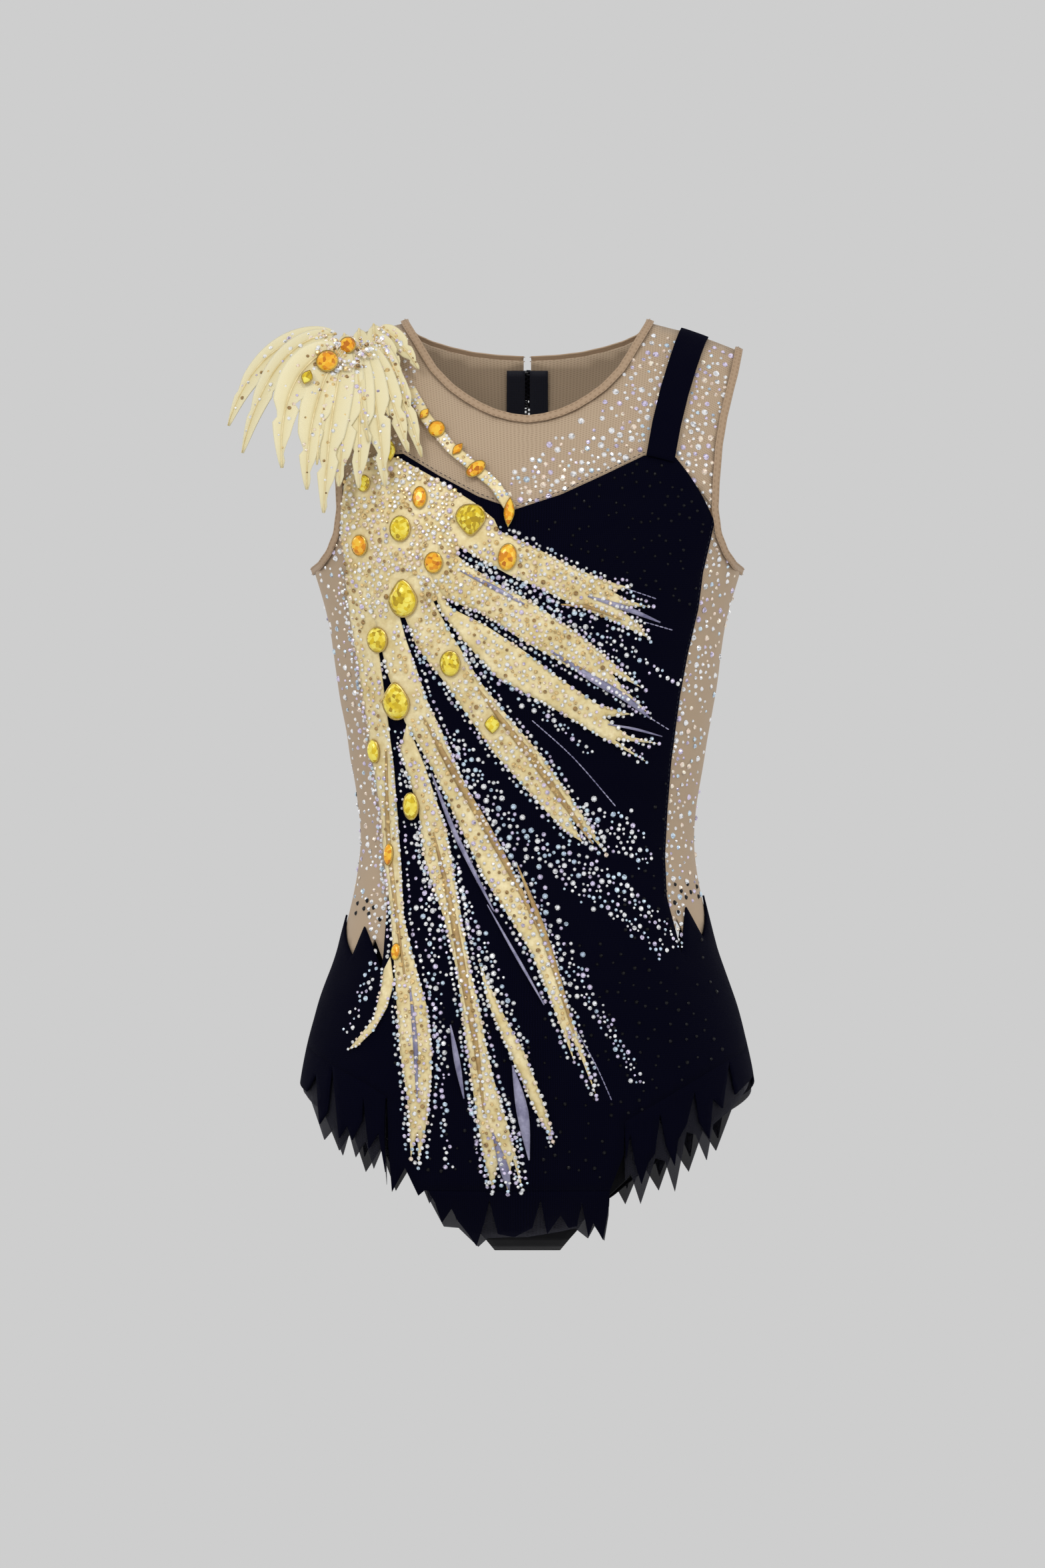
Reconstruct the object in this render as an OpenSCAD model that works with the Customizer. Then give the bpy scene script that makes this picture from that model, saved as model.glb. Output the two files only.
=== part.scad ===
// Sleeveless competition leotard with a jagged two-layer skirt, ray appliques
// and a feather epaulette on one shoulder. It is modelled as worn, with nobody in it.
// +Z up, the front faces -Y, origin on the centre line at the height of the waist.

/* [Torso] */
// Half width at the waist
waist_w = 103; // [98:1:108]
// Half width at the hips
hip_w = 139; // [134:1:144]
// Half width under the arms
chest_w = 130; // [125:1:135]
// Height of the neck end of the shoulder seam
shoulder_h = 322; // [318:1:326]
// Fall of the shoulder seam for each millimetre outwards
shoulder_fall = 0.31; // [0.25:0.01:0.36]

/* [Fabric] */
// Thickness of the stretch fabrics
cloth = 1.2; // [0.9:0.1:1.2]
// Thickness of the thin skirt mesh
mesh = 0.8; // [0.6:0.1:0.8]
// Thickness of the ray appliques
applique = 1; // [0.7:0.1:1]
// Width of the fold-over bindings
binding_w = 5.5; // [4:0.5:7]
// Gap left between neighbouring panels
seam = 0.5; // [0.4:0.1:0.8]

/* [Epaulette] */
// Thickness of a feather
feather = 0.8; // [0.6:0.1:0.8]
// Distance between the layers of feathers
feather_step = 2.2; // [2.2:0.1:2.5]

/* [Zip] */
// Height of the top stop
zip_top = 295; // [288:1:296]
// Height of the bottom stop
zip_bottom = 60; // [50:1:80]

/* [Hidden] */

// Colours
navy = [0.06, 0.07, 0.12];
black = [0.05, 0.05, 0.06];
nude = [0.72, 0.62, 0.53];
gold = [0.85, 0.78, 0.50];
cream = [0.92, 0.88, 0.66];
silver = [0.62, 0.62, 0.74];
amber = [0.85, 0.60, 0.15];

// Height over which the front and back curve together below the shoulder seam
cap_h = 90;
// Squareness of a level section through the torso
square_n = 2.3;
// Level sections: height, half width, depth in front of the axis, depth behind it
BODY = [
    [-262, hip_w - 9, 8, 28], [-235, hip_w - 5, 46, 48], [-200, hip_w - 1, 72, 84],
    [-150, hip_w, 85, 98], [-100, hip_w - 10.5, 86, 88], [-60, waist_w + 12, 80, 73],
    [0, waist_w, 72, 62], [60, waist_w + 7, 75, 66], [100, chest_w - 13, 80, 72],
    [135, chest_w - 8, 83, 77], [165, chest_w, 84, 80], [200, chest_w + 12, 80, 78],
    [240, chest_w + 26, 70, 66], [280, chest_w + 38, 58, 54], [325, chest_w + 48, 46, 44]
];
// Where the inner face of each layer lies off the inner face of the navy fabric
layer_nude = -cloth - 0.5;
layer_zip = layer_nude - 2.5;
layer_brief = -6.6;
layer_underskirt = -2.4;
layer_applique = cloth + 0.5;
layer_stone = layer_applique + applique + 0.4;

// ---- The torso surface ----

function between(v, low, high) = min(max(v, low), high);
function spow(v, e) = sign(v) * pow(abs(v), e);
function unit(v) = v / norm(v);
function mix(a, b, t) = a * (1 - t) + b * t;

// The section just below height z
function section(z, k = 0) = (k >= len(BODY) - 2 || z < BODY[k + 1][0]) ? k : section(z, k + 1);

// Column c of BODY at height z, on a smooth curve through the sections
function body(z, c) =
    let (k = section(z), p = BODY[max(k - 1, 0)], q = BODY[k], r = BODY[k + 1],
         s = BODY[min(k + 2, len(BODY) - 1)], h = r[0] - q[0], t = (z - q[0]) / h,
         slope_q = h * (r[c] - p[c]) / (r[0] - p[0]),
         slope_r = h * (s[c] - q[c]) / (s[0] - q[0]))
    q[c] * (1 - 3*t*t + 2*t*t*t) + slope_q * (t - 2*t*t + t*t*t)
    + r[c] * (3*t*t - 2*t*t*t) + slope_r * (t*t*t - t*t);

// Height of the shoulder seam's line at x
function seam_z(x) = shoulder_h - shoulder_fall * (abs(x) - 75);

// How far the section keeps its depth this far below the seam, from 0 at the seam to 1
function cap(below) = let (t = between(below / cap_h, 0.0005, 1)) sqrt(1 - pow(1 - t, 2));

// A point of the torso: u is the angle round it, 0 in front, 90 at the wearer's left side
function skin(u, z) =
    let (x = body(z, 1) * spow(sin(u), 2 / square_n), ahead = cos(u),
         depth = ahead >= 0 ? body(z, 2) : body(z, 3))
    [x, -depth * spow(ahead, 2 / square_n) * cap(seam_z(x) - z), z];

function outward(u, z) =
    unit(cross(skin(u + 0.6, z) - skin(u - 0.6, z), skin(u, z + 0.5) - skin(u, z - 0.5)));

// A point at this distance off the torso
function lift(u, z, off) = skin(u, z) + off * outward(u, z);

// The angle of the point at x on the front; behind, it is 180 less this
function angle_at(x, z) = sign(x) * asin(pow(between(abs(x) / body(z, 1), 0, 0.999999), square_n / 2));
function front(p) = [angle_at(p[0], p[1]), p[1]];
function rear(p) = [180 - angle_at(p[0], p[1]), p[1]];

// ---- Solids made of grids ----

function flat(rows) = [for (row = rows) each row];

// A closed sheet between two matching grids of points
module slab(outer, inner) {
    rows = len(outer);
    cols = len(outer[0]);
    n = rows * cols;
    across = outer[0][1] - outer[0][0];
    along = outer[1][0] - outer[0][0];
    turned = cross(across, along) * (outer[0][0] - inner[0][0]) < 0;
    quads = [
        for (r = [0:rows-2], c = [0:cols-2])
            let (k = r * cols + c) [k, k + cols, k + cols + 1, k + 1],
        for (r = [0:rows-2], c = [0:cols-2])
            let (k = n + r * cols + c) [k, k + 1, k + cols + 1, k + cols],
        for (c = [0:cols-2]) [c, c + 1, n + c + 1, n + c],
        for (c = [0:cols-2]) let (k = n - cols + c) [k + 1, k, n + k, n + k + 1],
        for (r = [0:rows-2]) let (k = r * cols) [k + cols, k, n + k, n + k + cols],
        for (r = [0:rows-2]) let (k = (r + 1) * cols - 1) [k, k + cols, n + k + cols, n + k]
    ];
    faces = [for (q = quads) each [[q[0], q[1], q[2]], [q[0], q[2], q[3]]]];
    polyhedron(concat(flat(outer), flat(inner)),
               turned ? [for (f = faces) [f[2], f[1], f[0]]] : faces);
}

// A panel on the torso between two edges, each a list of [angle, height], n cells across
module panel(edge_a, edge_b, n, off, thick) {
    spots = [for (r = [0:len(edge_a)-1]) [for (c = [0:n]) mix(edge_a[r], edge_b[r], c / n)]];
    slab([for (row = spots) [for (s = row) lift(s[0], s[1], off + thick)]],
         [for (row = spots) [for (s = row) lift(s[0], s[1], off)]]);
}

// A strip of cloth along a line of [angle, height] points, w wide, half each side
module strip(line, w, off, thick) {
    last = len(line) - 1;
    mids = [for (p = line) skin(p[0], p[1])];
    sides = [for (k = [0:last])
        let (way = unit(mids[min(k + 1, last)] - mids[max(k - 1, 0)]),
             up = outward(line[k][0], line[k][1]))
        [unit(cross(way, up)), up]];
    slab([for (k = [0:last]) [for (s = [-1, 0, 1])
             mids[k] + s * w / 2 * sides[k][0] + (off + thick) * sides[k][1]]],
         [for (k = [0:last]) [for (s = [-1, 0, 1])
             mids[k] + s * w / 2 * sides[k][0] + off * sides[k][1]]]);
}

// A tapered applique on the front: line is a list of [x, z, half width]
module ray(line, off, thick) {
    last = len(line) - 1;
    edge = function (side) [for (k = [0:last])
        let (a = line[max(k - 1, 0)], b = line[min(k + 1, last)], p = line[k],
             way = unit([b[0] - a[0], b[1] - a[1]]))
        front([p[0] + side * way[1] * p[2], p[1] - side * way[0] * p[2]])];
    panel(edge(-1), edge(1), 2, off, thick);
}

// The same line with n points added smoothly between each pair
function fine(line, n) =
    let (last = len(line) - 1)
    [for (k = [0:last-1], s = [0:n-1])
        let (t = s / n, p = line[max(k - 1, 0)], q = line[k], r = line[k + 1],
             s2 = line[min(k + 2, last)], mq = (r - p) / 2, mr = (s2 - q) / 2)
        q * (1 - 3*t*t + 2*t*t*t) + mq * (t - 2*t*t + t*t*t)
        + r * (3*t*t - 2*t*t*t) + mr * (t*t*t - t*t),
     line[last]];

// ---- Bodice, yoke and side panels ----

side = 999; // an x beyond the torso, which stands for its side seam

// How far the bodice's top edge stands above its outer corners at x
function rise(x) = lookup(x, [
    [-113, 0], [-89, 40], [-70, 40], [-7, 7], [70, 40], [89, 40], [113, 0]]);

// Rows of the bodice: height, half width, how much of the top edge's shape they keep
FRONT_ROWS = [
    [198, 113, 1], [184, 109, 0.8], [168, 106, 0.6], [150, 103.6, 0.42], [130, 99.5, 0.25],
    [110, 95.3, 0.1], [93, 92, 0], [74, 89.3, 0], [55, 87, 0], [35, 85.2, 0], [15, 83.6, 0],
    [-5, 83.3, 0], [-18, 85, 0], [-30, 90, 0], [-42, 97, 0], [-52, 104.5, 0], [-61, side, 0],
    [-78, side, 0], [-98, side, 0], [-118, side, 0]
];
// Lower rows of the front, between the flaps: height, right edge, left edge
FRONT_FOOT = [
    [-126, -128, 128], [-134, -114, 112], [-142, -98, 98], [-150, -84.5, 84],
    [-164.5, -84, 58.5], [-185, -83.5, 58], [-206.5, -62, 50]
];
// Rows of each half of the back; its top edge is straighter
BACK_ROWS = [
    [198, 113, 1], [184, 109, 0.85], [168, 106, 0.68], [150, 103.6, 0.5], [130, 99.5, 0.3],
    [110, 95.3, 0.12], [93, 92, 0], [74, 89.3, 0], [62, 88, 0], [56, 87, 0], [35, 85.2, 0],
    [15, 83.6, 0], [-5, 83.3, 0], [-18, 85, 0], [-30, 90, 0], [-42, 97, 0], [-52, 104.5, 0],
    [-61, side, 0], [-78, side, 0], [-98, side, 0], [-118, side, 0]
];
// Lower rows of each half of the back: height, half width
BACK_FOOT = [[-124, 131], [-130, 122], [-142, 92], [-154, 50], [-163, 14]];
function back_rise(x) = lookup(abs(x), [[0, -56], [60, -30], [113, 0]]);

module front_bodice() color(navy) {
    top_x = [-113, -105, -97, -89, -80, -70, -57, -44, -31, -19, -7, 6, 19, 32, 45, 58, 70, 80, 89,
             97, 105, 113];
    shares = [for (x = top_x) angle_at(x, 198) / angle_at(113, 198)];
    upper = [for (row = FRONT_ROWS)
        let (edge = angle_at(row[1], row[0]))
        [for (k = [0:len(top_x)-1]) [edge * shares[k], row[0] + rise(top_x[k]) * row[2]]]];
    lower = [for (row = FRONT_FOOT)
        let (a = angle_at(row[1], row[0]), b = angle_at(row[2], row[0]))
        [for (share = shares) [mix(a, b, (share + 1) / 2), row[0]]]];
    spots = concat(upper, lower);
    slab([for (row = spots) [for (s = row) lift(s[0], s[1], cloth)]],
         [for (row = spots) [for (s = row) lift(s[0], s[1], 0)]]);
}

// Half of the back; way is -1 for the wearer's right and 1 for the left
module back_bodice(way) color(navy) {
    n = 10;
    rows = concat(BACK_ROWS, [for (row = BACK_FOOT) [row[0], row[1], 0]]);
    spots = [for (row = rows)
        let (edge = 180 - angle_at(row[1], row[0]),
             middle = 180 - angle_at(row[0] > 60 ? 3 : seam / 2, row[0]))
        [for (c = [0:n])
            let (u = mix(edge, middle, c / n), x = skin(u, row[0])[0])
            [way * u, row[0] + back_rise(x) * row[2]]]];
    slab([for (row = spots) [for (s = row) lift(s[0], s[1], cloth)]],
         [for (row = spots) [for (s = row) lift(s[0], s[1], 0)]]);
}
module back_bodice_right() back_bodice(-1);
module back_bodice_left() back_bodice(1);

// Half of the yoke's neck edge and its outer edge, from the shoulder seam to the centre
YOKE_NECK = [
    [75, 321.8], [74.2, 319.5], [71.5, 315], [67, 307.5], [62, 299], [57, 291], [51.5, 285],
    [46, 279.5], [38, 273.5], [29, 268], [20, 264], [10, 261.2], [0, 260]
];
YOKE_OUTER = [
    [129.5, 304.7], [129, 302.5], [128, 297], [126, 289], [123.5, 280], [119, 262], [116, 245]
];
yoke_gap = 3 * seam;
// From the armhole to the centre, above the bodice's top edge; way is -1 on the wearer's right
function yoke_low(way) = concat([[102 * way, 241]],
    [for (x = [89, 70, 45, 20, way > 0 ? -7 : 7]) [x * way, 198 + rise(x * way) + yoke_gap]]);

module front_yoke_mesh() color(nude) {
    mirror_x = function (p) [-p[0], p[1]];
    last = len(YOKE_NECK) - 1;
    neck = concat([for (k = [0:last-1]) mirror_x(YOKE_NECK[k])],
                  [for (k = [last:-1:0]) YOKE_NECK[k]]);
    right = concat([for (p = YOKE_OUTER) mirror_x(p)], [for (k = [0:4]) yoke_low(-1)[k]]);
    left = concat(YOKE_OUTER, yoke_low(1));
    outer = concat(right, [for (k = [last:-1:0]) left[k]]);
    panel([for (p = neck) front(p)], [for (p = outer) front(p)], 8, layer_nude, cloth);
    for (way = [-1, 1])
        panel([for (p = [[115.4, 243], [113.6, 220], [113.2, 200]]) front([way * p[0], p[1]])],
              [for (p = [[91.5, 239], [103, 219.5], [112.8, 200]]) front([way * p[0], p[1]])],
              3, layer_nude, cloth);
}

// Half of the back yoke, from the shoulder seam to the bodice edge
module back_yoke(way) color(nude) {
    inner = [[75, 321.8], [73.5, 317.5], [69, 313], [60, 309], [48, 305.5], [34, 302.5],
             [19, 300.8], [3.5, 300], [3.5, 268], [3.5, 236], [3.5, 204], [3.5, 172], [3.5, 146]];
    outer = concat([[129.5, 304.7], [128, 297], [124, 282], [119, 264], [116, 244], [114, 222],
                    [113, 208]],
                   [for (x = [112.5, 97, 77, 54, 30, 8]) [x, 198 + back_rise(x) + yoke_gap]]);
    panel([for (p = inner) let (q = rear(p)) [way * q[0], q[1]]],
          [for (p = outer) let (q = rear(p)) [way * q[0], q[1]]], 7, layer_nude, cloth);
}
module back_yoke_right() back_yoke(-1);
module back_yoke_left() back_yoke(1);

// The mesh panel under one arm, from the front bodice round to the back bodice
module side_mesh(way) color(nude) {
    gap = 1.6 * seam;
    rows = [for (k = [0:15]) [FRONT_ROWS[k][0], angle_at(FRONT_ROWS[k][1] + gap, FRONT_ROWS[k][0])]];
    // The armhole cuts the top rows down to the underarm
    drop = function (z, t) z > 166 ? (z - 166) * 0.97 * (1 - pow(2 * t - 1, 2)) : 0;
    n = 10;
    spots = [for (row = concat(rows, [[-57, 84.5]]))
        [for (c = [0:n]) [way * mix(row[1], 180 - row[1], c / n), row[0] - drop(row[0], c / n)]]];
    slab([for (row = spots) [for (s = row) lift(s[0], s[1], layer_nude + cloth)]],
         [for (row = spots) [for (s = row) lift(s[0], s[1], layer_nude)]]);
}
module side_mesh_right() side_mesh(-1);
module side_mesh_left() side_mesh(1);

module shoulder_strap() color(navy) {
    before = [[80, 239], [84, 257], [89, 277], [94, 293], [98, 304.5], [100.5, 310.5], [102, 313.4]];
    behind = [[102, 313.4], [101, 310], [99, 303], [96, 291], [92, 272], [87, 246], [81, 218],
              [76, 196], [72, 178]];
    strip(concat(fine([for (p = before) front(p)], 2), fine([for (p = behind) rear(p)], 2)),
          17, cloth + 0.4, cloth);
}

// ---- Bindings ----

module neck_binding() color(nude) {
    before = [for (k = [0:len(YOKE_NECK)-1]) front(YOKE_NECK[k])];
    behind = [for (p = [[75, 321.6], [73.5, 317.5], [69, 313], [60, 309], [48, 305.5], [34, 302.5],
                        [19, 300.8], [4, 300]]) rear(p)];
    left_half = concat(fine([for (k = [len(behind)-1:-1:1]) behind[k]], 3), fine(before, 2));
    turn_over = function (p) [-p[0], p[1]];
    line = concat(left_half, [for (k = [len(left_half)-2:-1:0]) turn_over(left_half[k])]);
    strip(line, binding_w, cloth + 0.3, cloth);
}

module armhole_binding(way) color(nude) {
    before = [[129.5, 304.4], [129, 302], [127.5, 295], [123.5, 280], [119, 262], [116, 244],
              [113.8, 222], [113.4, 205], [115.5, 191], [120, 180], [125.5, 172.5]];
    bottom = [90, 169];
    line = concat([for (p = before) front(p)], [bottom],
                  [for (k = [len(before)-1:-1:0]) rear(before[k])]);
    strip(fine([for (p = line) [way * p[0], p[1]]], 2), binding_w, cloth + 0.3, cloth);
}
module armhole_binding_right() armhole_binding(-1);
module armhole_binding_left() armhole_binding(1);

// ---- Brief and gusset ----

// Side seam of the brief above the leg, as [x, z]
BRIEF_SIDE = [[side, -96], [side, -107]];
// Leg edge of the brief in front and behind, from the side seam to the gusset
LEG_FRONT = [[side, -120], [127, -134], [112, -150], [92, -170], [70, -192], [48, -214], [27, -238]];
LEG_BACK = [[side, -120], [130, -136], [118, -156], [101, -178], [80, -200], [54, -220], [27, -238]];

module brief_front() color(black) {
    smooth = fine([for (p = concat(BRIEF_SIDE, LEG_FRONT)) front(p)], 2);
    edge = [for (q = smooth) [min(q[0], 89.8), q[1]]];
    panel([for (q = edge) [-q[0], q[1]]], edge, 18, layer_brief, cloth);
}

module brief_back() color(black) {
    smooth = fine([for (p = concat(BRIEF_SIDE, LEG_BACK)) rear(p)], 2);
    edge = [for (q = smooth) [max(q[0], 90.2), q[1]]];
    panel([for (q = edge) [360 - q[0], q[1]]], edge, 18, layer_brief, cloth);
}

// The strip between the legs, from the front of the brief to the back of it
module crotch(drop, thick, narrower) {
    ahead = -33 + narrower;
    behind = 41 - narrower;
    steps = 10;
    arc = function (t, d) [mix(ahead, behind, t), -239.5 - 8 * sin(180 * t) + d];
    half = function (t) 27 - 11 * sin(180 * t) - narrower;
    sheet = function (d) [for (k = [0:steps])
        let (t = k / steps, p = arc(t, d)) [for (s = [-1:0.5:1]) [s * half(t), p[0], p[1]]]];
    slab(sheet(-drop - thick), sheet(-drop));
}
module gusset() color(black) crotch(0, cloth, 0);
module gusset_lining() color(black) crotch(-1.5, 0.8, 3);

module leg_binding(way) color(black) {
    trim = function (line) [for (p = line) [p[0] == side ? p[0] : p[0] - 2, p[1] - 1]];
    line = concat([for (k = [len(LEG_FRONT)-2:-1:1]) front(trim(LEG_FRONT)[k])], [[90, -121]],
                  [for (k = [1:len(LEG_BACK)-2]) rear(trim(LEG_BACK)[k])]);
    strip(fine([for (p = line) [way * p[0], p[1]]], 3), 4, layer_brief - 3, 0.8);
}
module leg_bindings() for (way = [-1, 1]) leg_binding(way);

// ---- Ray appliques ----

// Each ray runs from its root on the chest to its tip: x, height, half width
RAYS = [
    [[-36, 192, 5], [-6, 179, 11], [21, 163, 10], [44, 150, 8], [60, 140, 4], [71, 130, 0.5]],
    [[-50, 168, 5], [-30, 152, 9], [-8, 138, 10], [20, 122, 9], [45, 108, 6], [66, 98, 0.5]],
    [[-46, 146, 3], [-30, 131, 6], [-8, 112, 8], [15, 95, 8], [40, 76, 5], [71, 54, 0.5]],
    [[-71, 160, 4], [-65, 141, 7], [-45, 113, 9], [-25, 77, 9], [-2, 47, 8], [21, 21, 5],
     [37, 4, 2.5], [50, -6, 0.5]],
    [[-84, 158, 4], [-81, 128, 7], [-62, 77, 10], [-47, 37, 11], [-29, -5, 11], [-11, -41, 10],
     [8, -78, 7], [26, -114, 4], [41, -148, 0.5]],
    [[-72, 50, 3], [-66, 30, 6], [-56, 1, 8], [-47, -38, 10], [-39, -78, 10], [-30, -117, 10.5],
     [-22, -157, 10], [-17, -186, 6], [-12, -204, 0.5]],
    [[-24, -84, 1.5], [-17, -100, 3], [-6, -121, 3.5], [6, -147, 3], [16, -178, 0.5]],
    [[-101, 165, 9], [-99, 130, 8], [-94, 90, 7], [-88, 50, 5.5], [-85, 10, 4.5], [-81, -25, 4.5],
     [-76, -61, 6], [-70, -98, 9], [-67, -134, 8.5], [-66, -166, 5], [-66, -190, 0.5]]
];
module ray_piece(k) color(gold) ray(fine(RAYS[k - 1], 3), layer_applique, applique);
module ray_1() ray_piece(1);
module ray_2() ray_piece(2);
module ray_3() ray_piece(3);
module ray_4() ray_piece(4);
module ray_5() ray_piece(5);
module ray_6() ray_piece(6);
module ray_7() ray_piece(7);
module ray_8() ray_piece(8);

// The gold patch on the chest that the rays leave
module ray_root() color(gold)
    panel([for (p = [[-107, 236], [-108, 222], [-108, 205], [-107, 190], [-105, 177]]) front(p)],
          [for (p = [[-84, 236], [-60, 224], [-44, 208], [-46, 195], [-62, 177]]) front(p)],
          5, layer_applique, applique);

// The small curved leaf at the hip
module hip_leaf() color(cream)
    ray([[-86, -80, 0.8], [-88.5, -90, 3], [-94, -105, 3.5], [-101, -116, 2], [-106, -121, 0.6]],
        layer_applique, applique);

SLIVERS = [
    [[40, 151, 0.6], [60, 145, 2], [79, 138, 0.5]],
    [[14, 121, 0.6], [40, 104, 3], [60, 90, 2.5], [73, 80, 0.5]],
    [[-57, 48, 0.6], [-42, 5, 2], [-30, -25, 2], [-18, -50, 0.6]],
    [[-9, -128, 0.6], [-4, -160, 3.5], [0, -187, 0.5]],
    [[-20, -170, 0.6], [-15, -190, 3], [-12, -205, 0.5]],
    [[-44, -108, 0.6], [-42, -125, 2], [-38, -150, 0.5]]
];
module silver_slivers() color(silver)
    for (line = SLIVERS) ray(fine(line, 3), layer_stone, applique / 2);

module neckline_trim() color(gold) {
    line = [[-71, 279], [-61, 260], [-46, 242], [-30, 228.5], [-22, 222], [-13, 211]];
    strip([for (p = fine(line, 2)) front(p)], 6, cloth + 0.4, applique);
}

// ---- Large stones ----

// Outline of a stone, one turn of t: shape 0 is oval, 1 pear, 2 navette
function stone_edge(t, shape) =
    shape == 1 ? [cos(t) * (1 - 0.45 * max(0, sin(t))), sin(t)]
    : shape == 2 ? [sign(cos(t)) * (1 - pow(abs(sin(t)), 1.7)), sin(t)]
    : [cos(t), sin(t)];

// A cut stone on the front: its centre, width, height, turn and outline
module stone(x, z, w, h, turn = 0, shape = 0, off = layer_stone) {
    spot = front([x, z]);
    up = outward(spot[0], spot[1]);
    right = unit(cross([0, 0, 1], -up));
    top = cross(up, -right);
    base = lift(spot[0], spot[1], off + 1);
    n = 14;
    // Rings: share of the outline, height above the base
    rings = [[0.9, 0], [1, 0.8], [0.62, 2.4]];
    points = [for (ring = rings, k = [0:n-1])
        let (p = stone_edge(360 * (k + 0.5) / n, shape), a = p[0] * w / 2 * ring[0],
             b = p[1] * h / 2 * ring[0])
        base + right * (a * cos(turn) - b * sin(turn)) + top * (a * sin(turn) + b * cos(turn))
        + up * ring[1]];
    walls = [for (r = [0:1], k = [0:n-1])
        let (a = r * n + k, b = r * n + (k + 1) % n)
        each [[a, a + n, b + n], [a, b + n, b]]];
    polyhedron(points, concat([[for (k = [0:n-1]) k]], [[for (k = [n-1:-1:0]) 2 * n + k]], walls));
}

module round_stones() color(amber) {
    for (s = [[-76, 193.5, 12, 14], [-89, 127, 14, 15], [-54.5, 253, 9, 9], [-78, -63, 6, 9]])
        stone(s[0], s[1], s[2], s[3]);
}
module oval_stones() color(amber) {
    for (s = [[-64.5, 212, 8, 13], [-100, 184, 10, 12], [-56, 173, 10.5, 12], [-12, 176, 10, 15],
              [-46, 112.5, 11, 15], [-91, 59.5, 8, 14], [-69, 26, 9, 16], [-82, -4, 6, 12]])
        stone(s[0], s[1], s[2], s[3]);
    stone(-31, 229, 12, 7, -38);
}
module pear_stones() color(amber) {
    stone(-34, 198, 17, 19, 180, 1);
    for (z = [152, 90]) stone(z > 100 ? -74 : -78, z, 17, 22, 0, 1);
}
module navette_stones() color(amber) {
    for (s = [[-21, 76, 8, 11], [-82, 240, 5, 12], [-98, 221, 7, 10], [-13, 200, 6, 14]])
        stone(s[0], s[1], s[2], s[3], 0, 2);
}

// ---- Epaulette ----

// Depth of the innermost layer of feathers at height z
function feather_y(z) = lookup(z, [
    [200, -71], [225, -70], [245, -68], [262, -64], [280, -57], [300, -45.5], [320, -30]]);

module epaulette_base() color(gold)
    panel([for (z = [317, 311.5, 302, 290]) front([-86, z])],
          [for (z = [305.7, 300.5, 292, 282]) front([-121, z])], 4, cloth + 0.4, 2.6);

// Share of the greatest width at t along a feather
function leaf(t) = 0.06 + 0.94 * pow(sin(180 * pow(t, 0.75)), 0.8) * (1 - 0.25 * t);

// A feather in front of the shoulder, parallel to the others: [x, z] points and its layer
module front_feather(root, bend, tip, w, layer) color(cream) {
    steps = 9;
    rib = 0.9;
    centre = function (t) pow(1 - t, 2) * root + 2 * t * (1 - t) * bend + t * t * tip;
    rows = function (back) [for (k = [0:steps])
        let (t = k / steps, c = centre(t), way = unit(mix(bend - root, tip - bend, t)),
             across = [way[1], -way[0]] * w / 2 * leaf(t))
        [for (s = [-1:0.5:1])
            let (p = c + s * across)
            [p[0], feather_y(p[1]) - layer * feather_step - rib * (1 - abs(s)) + back, p[1]]]];
    slab(rows(0), rows(feather));
}
module feather_1() front_feather([-92, 305], [-74, 275], [-64, 237], 11, 2);
module feather_2() front_feather([-96, 306], [-82, 275], [-72, 240], 12, 3);
module feather_3() front_feather([-100, 306], [-90, 270], [-86, 219], 16, 4);
module feather_4() front_feather([-104, 306], [-100, 265], [-102, 218], 16, 5);
module feather_5() front_feather([-107, 306], [-108, 265], [-114, 219], 16, 6);
module feather_6() front_feather([-110, 305], [-118, 262], [-123, 203], 17, 7);
module feather_7() front_feather([-113, 304], [-130, 265], [-132, 217], 15, 8);
module feather_8() front_feather([-116, 303], [-150, 290], [-137, 243], 15, 9);

module neck_leaves() {
    front_feather([-90, 317], [-78, 311], [-66, 291], 9, 0);
    front_feather([-93, 312], [-84, 304], [-77, 290], 9, 1);
}

// A feather over the arm, through three points in space
module arm_feather(root, bend, tip, w) color(cream) {
    steps = 9;
    rib = 0.9;
    facing = [-0.5, -0.7, 0.5];
    centre = function (t) pow(1 - t, 2) * root + 2 * t * (1 - t) * bend + t * t * tip;
    rows = function (back) [for (k = [0:steps])
        let (t = k / steps, way = unit(mix(bend - root, tip - bend, t)),
             across = unit(cross(way, facing)), up = cross(across, way))
        [for (s = [-1:0.5:1])
            centre(t) + s * across * w / 2 * leaf(t) + up * (rib * (1 - abs(s)) - back)]];
    slab(rows(0), rows(feather));
}
module arm_feathers() {
    arm_feather([-121, -8, 315], [-158, -14, 308], [-174, -18, 240], 17);
    arm_feather([-120, 5, 317], [-168, 3, 316], [-183, -4, 257], 17);
}

// ---- Skirt ----

flap_clear = 2; // degrees round the torso between a flap and the side seam

// The hems, as [x, height of the navy layer, height of the mesh layer], from the side inwards
HEM_RIGHT = [
    [-side, -147, -150], [-132, -154, -160], [-125, -176, -180], [-119, -168, -176],
    [-113, -183, -190], [-109, -171, -180], [-105, -184, -192], [-99, -176, -184],
    [-94, -189, -198], [-88, -176, -188], [-85, -192, -204]
];
HEM_LEFT = [
    [side, -140, -148], [127, -152, -162], [114, -163, -172], [110, -182, -191],
    [104, -168, -177], [96, -168, -180], [90, -199, -210], [84, -186, -197], [78, -183, -196],
    [69, -208, -219], [64, -198, -210], [58.8, -190, -206]
];
HEM_CENTRE = [
    [-60.5, -211, -214], [-51, -229, -232], [-40, -232, -237], [-30, -242, -245],
    [-22, -236, -239], [0, -232, -236], [20, -230, -235], [29, -230, -234], [37, -236, -239],
    [40, -230, -235], [46, -238, -241], [49.5, -222, -228]
];
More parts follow.
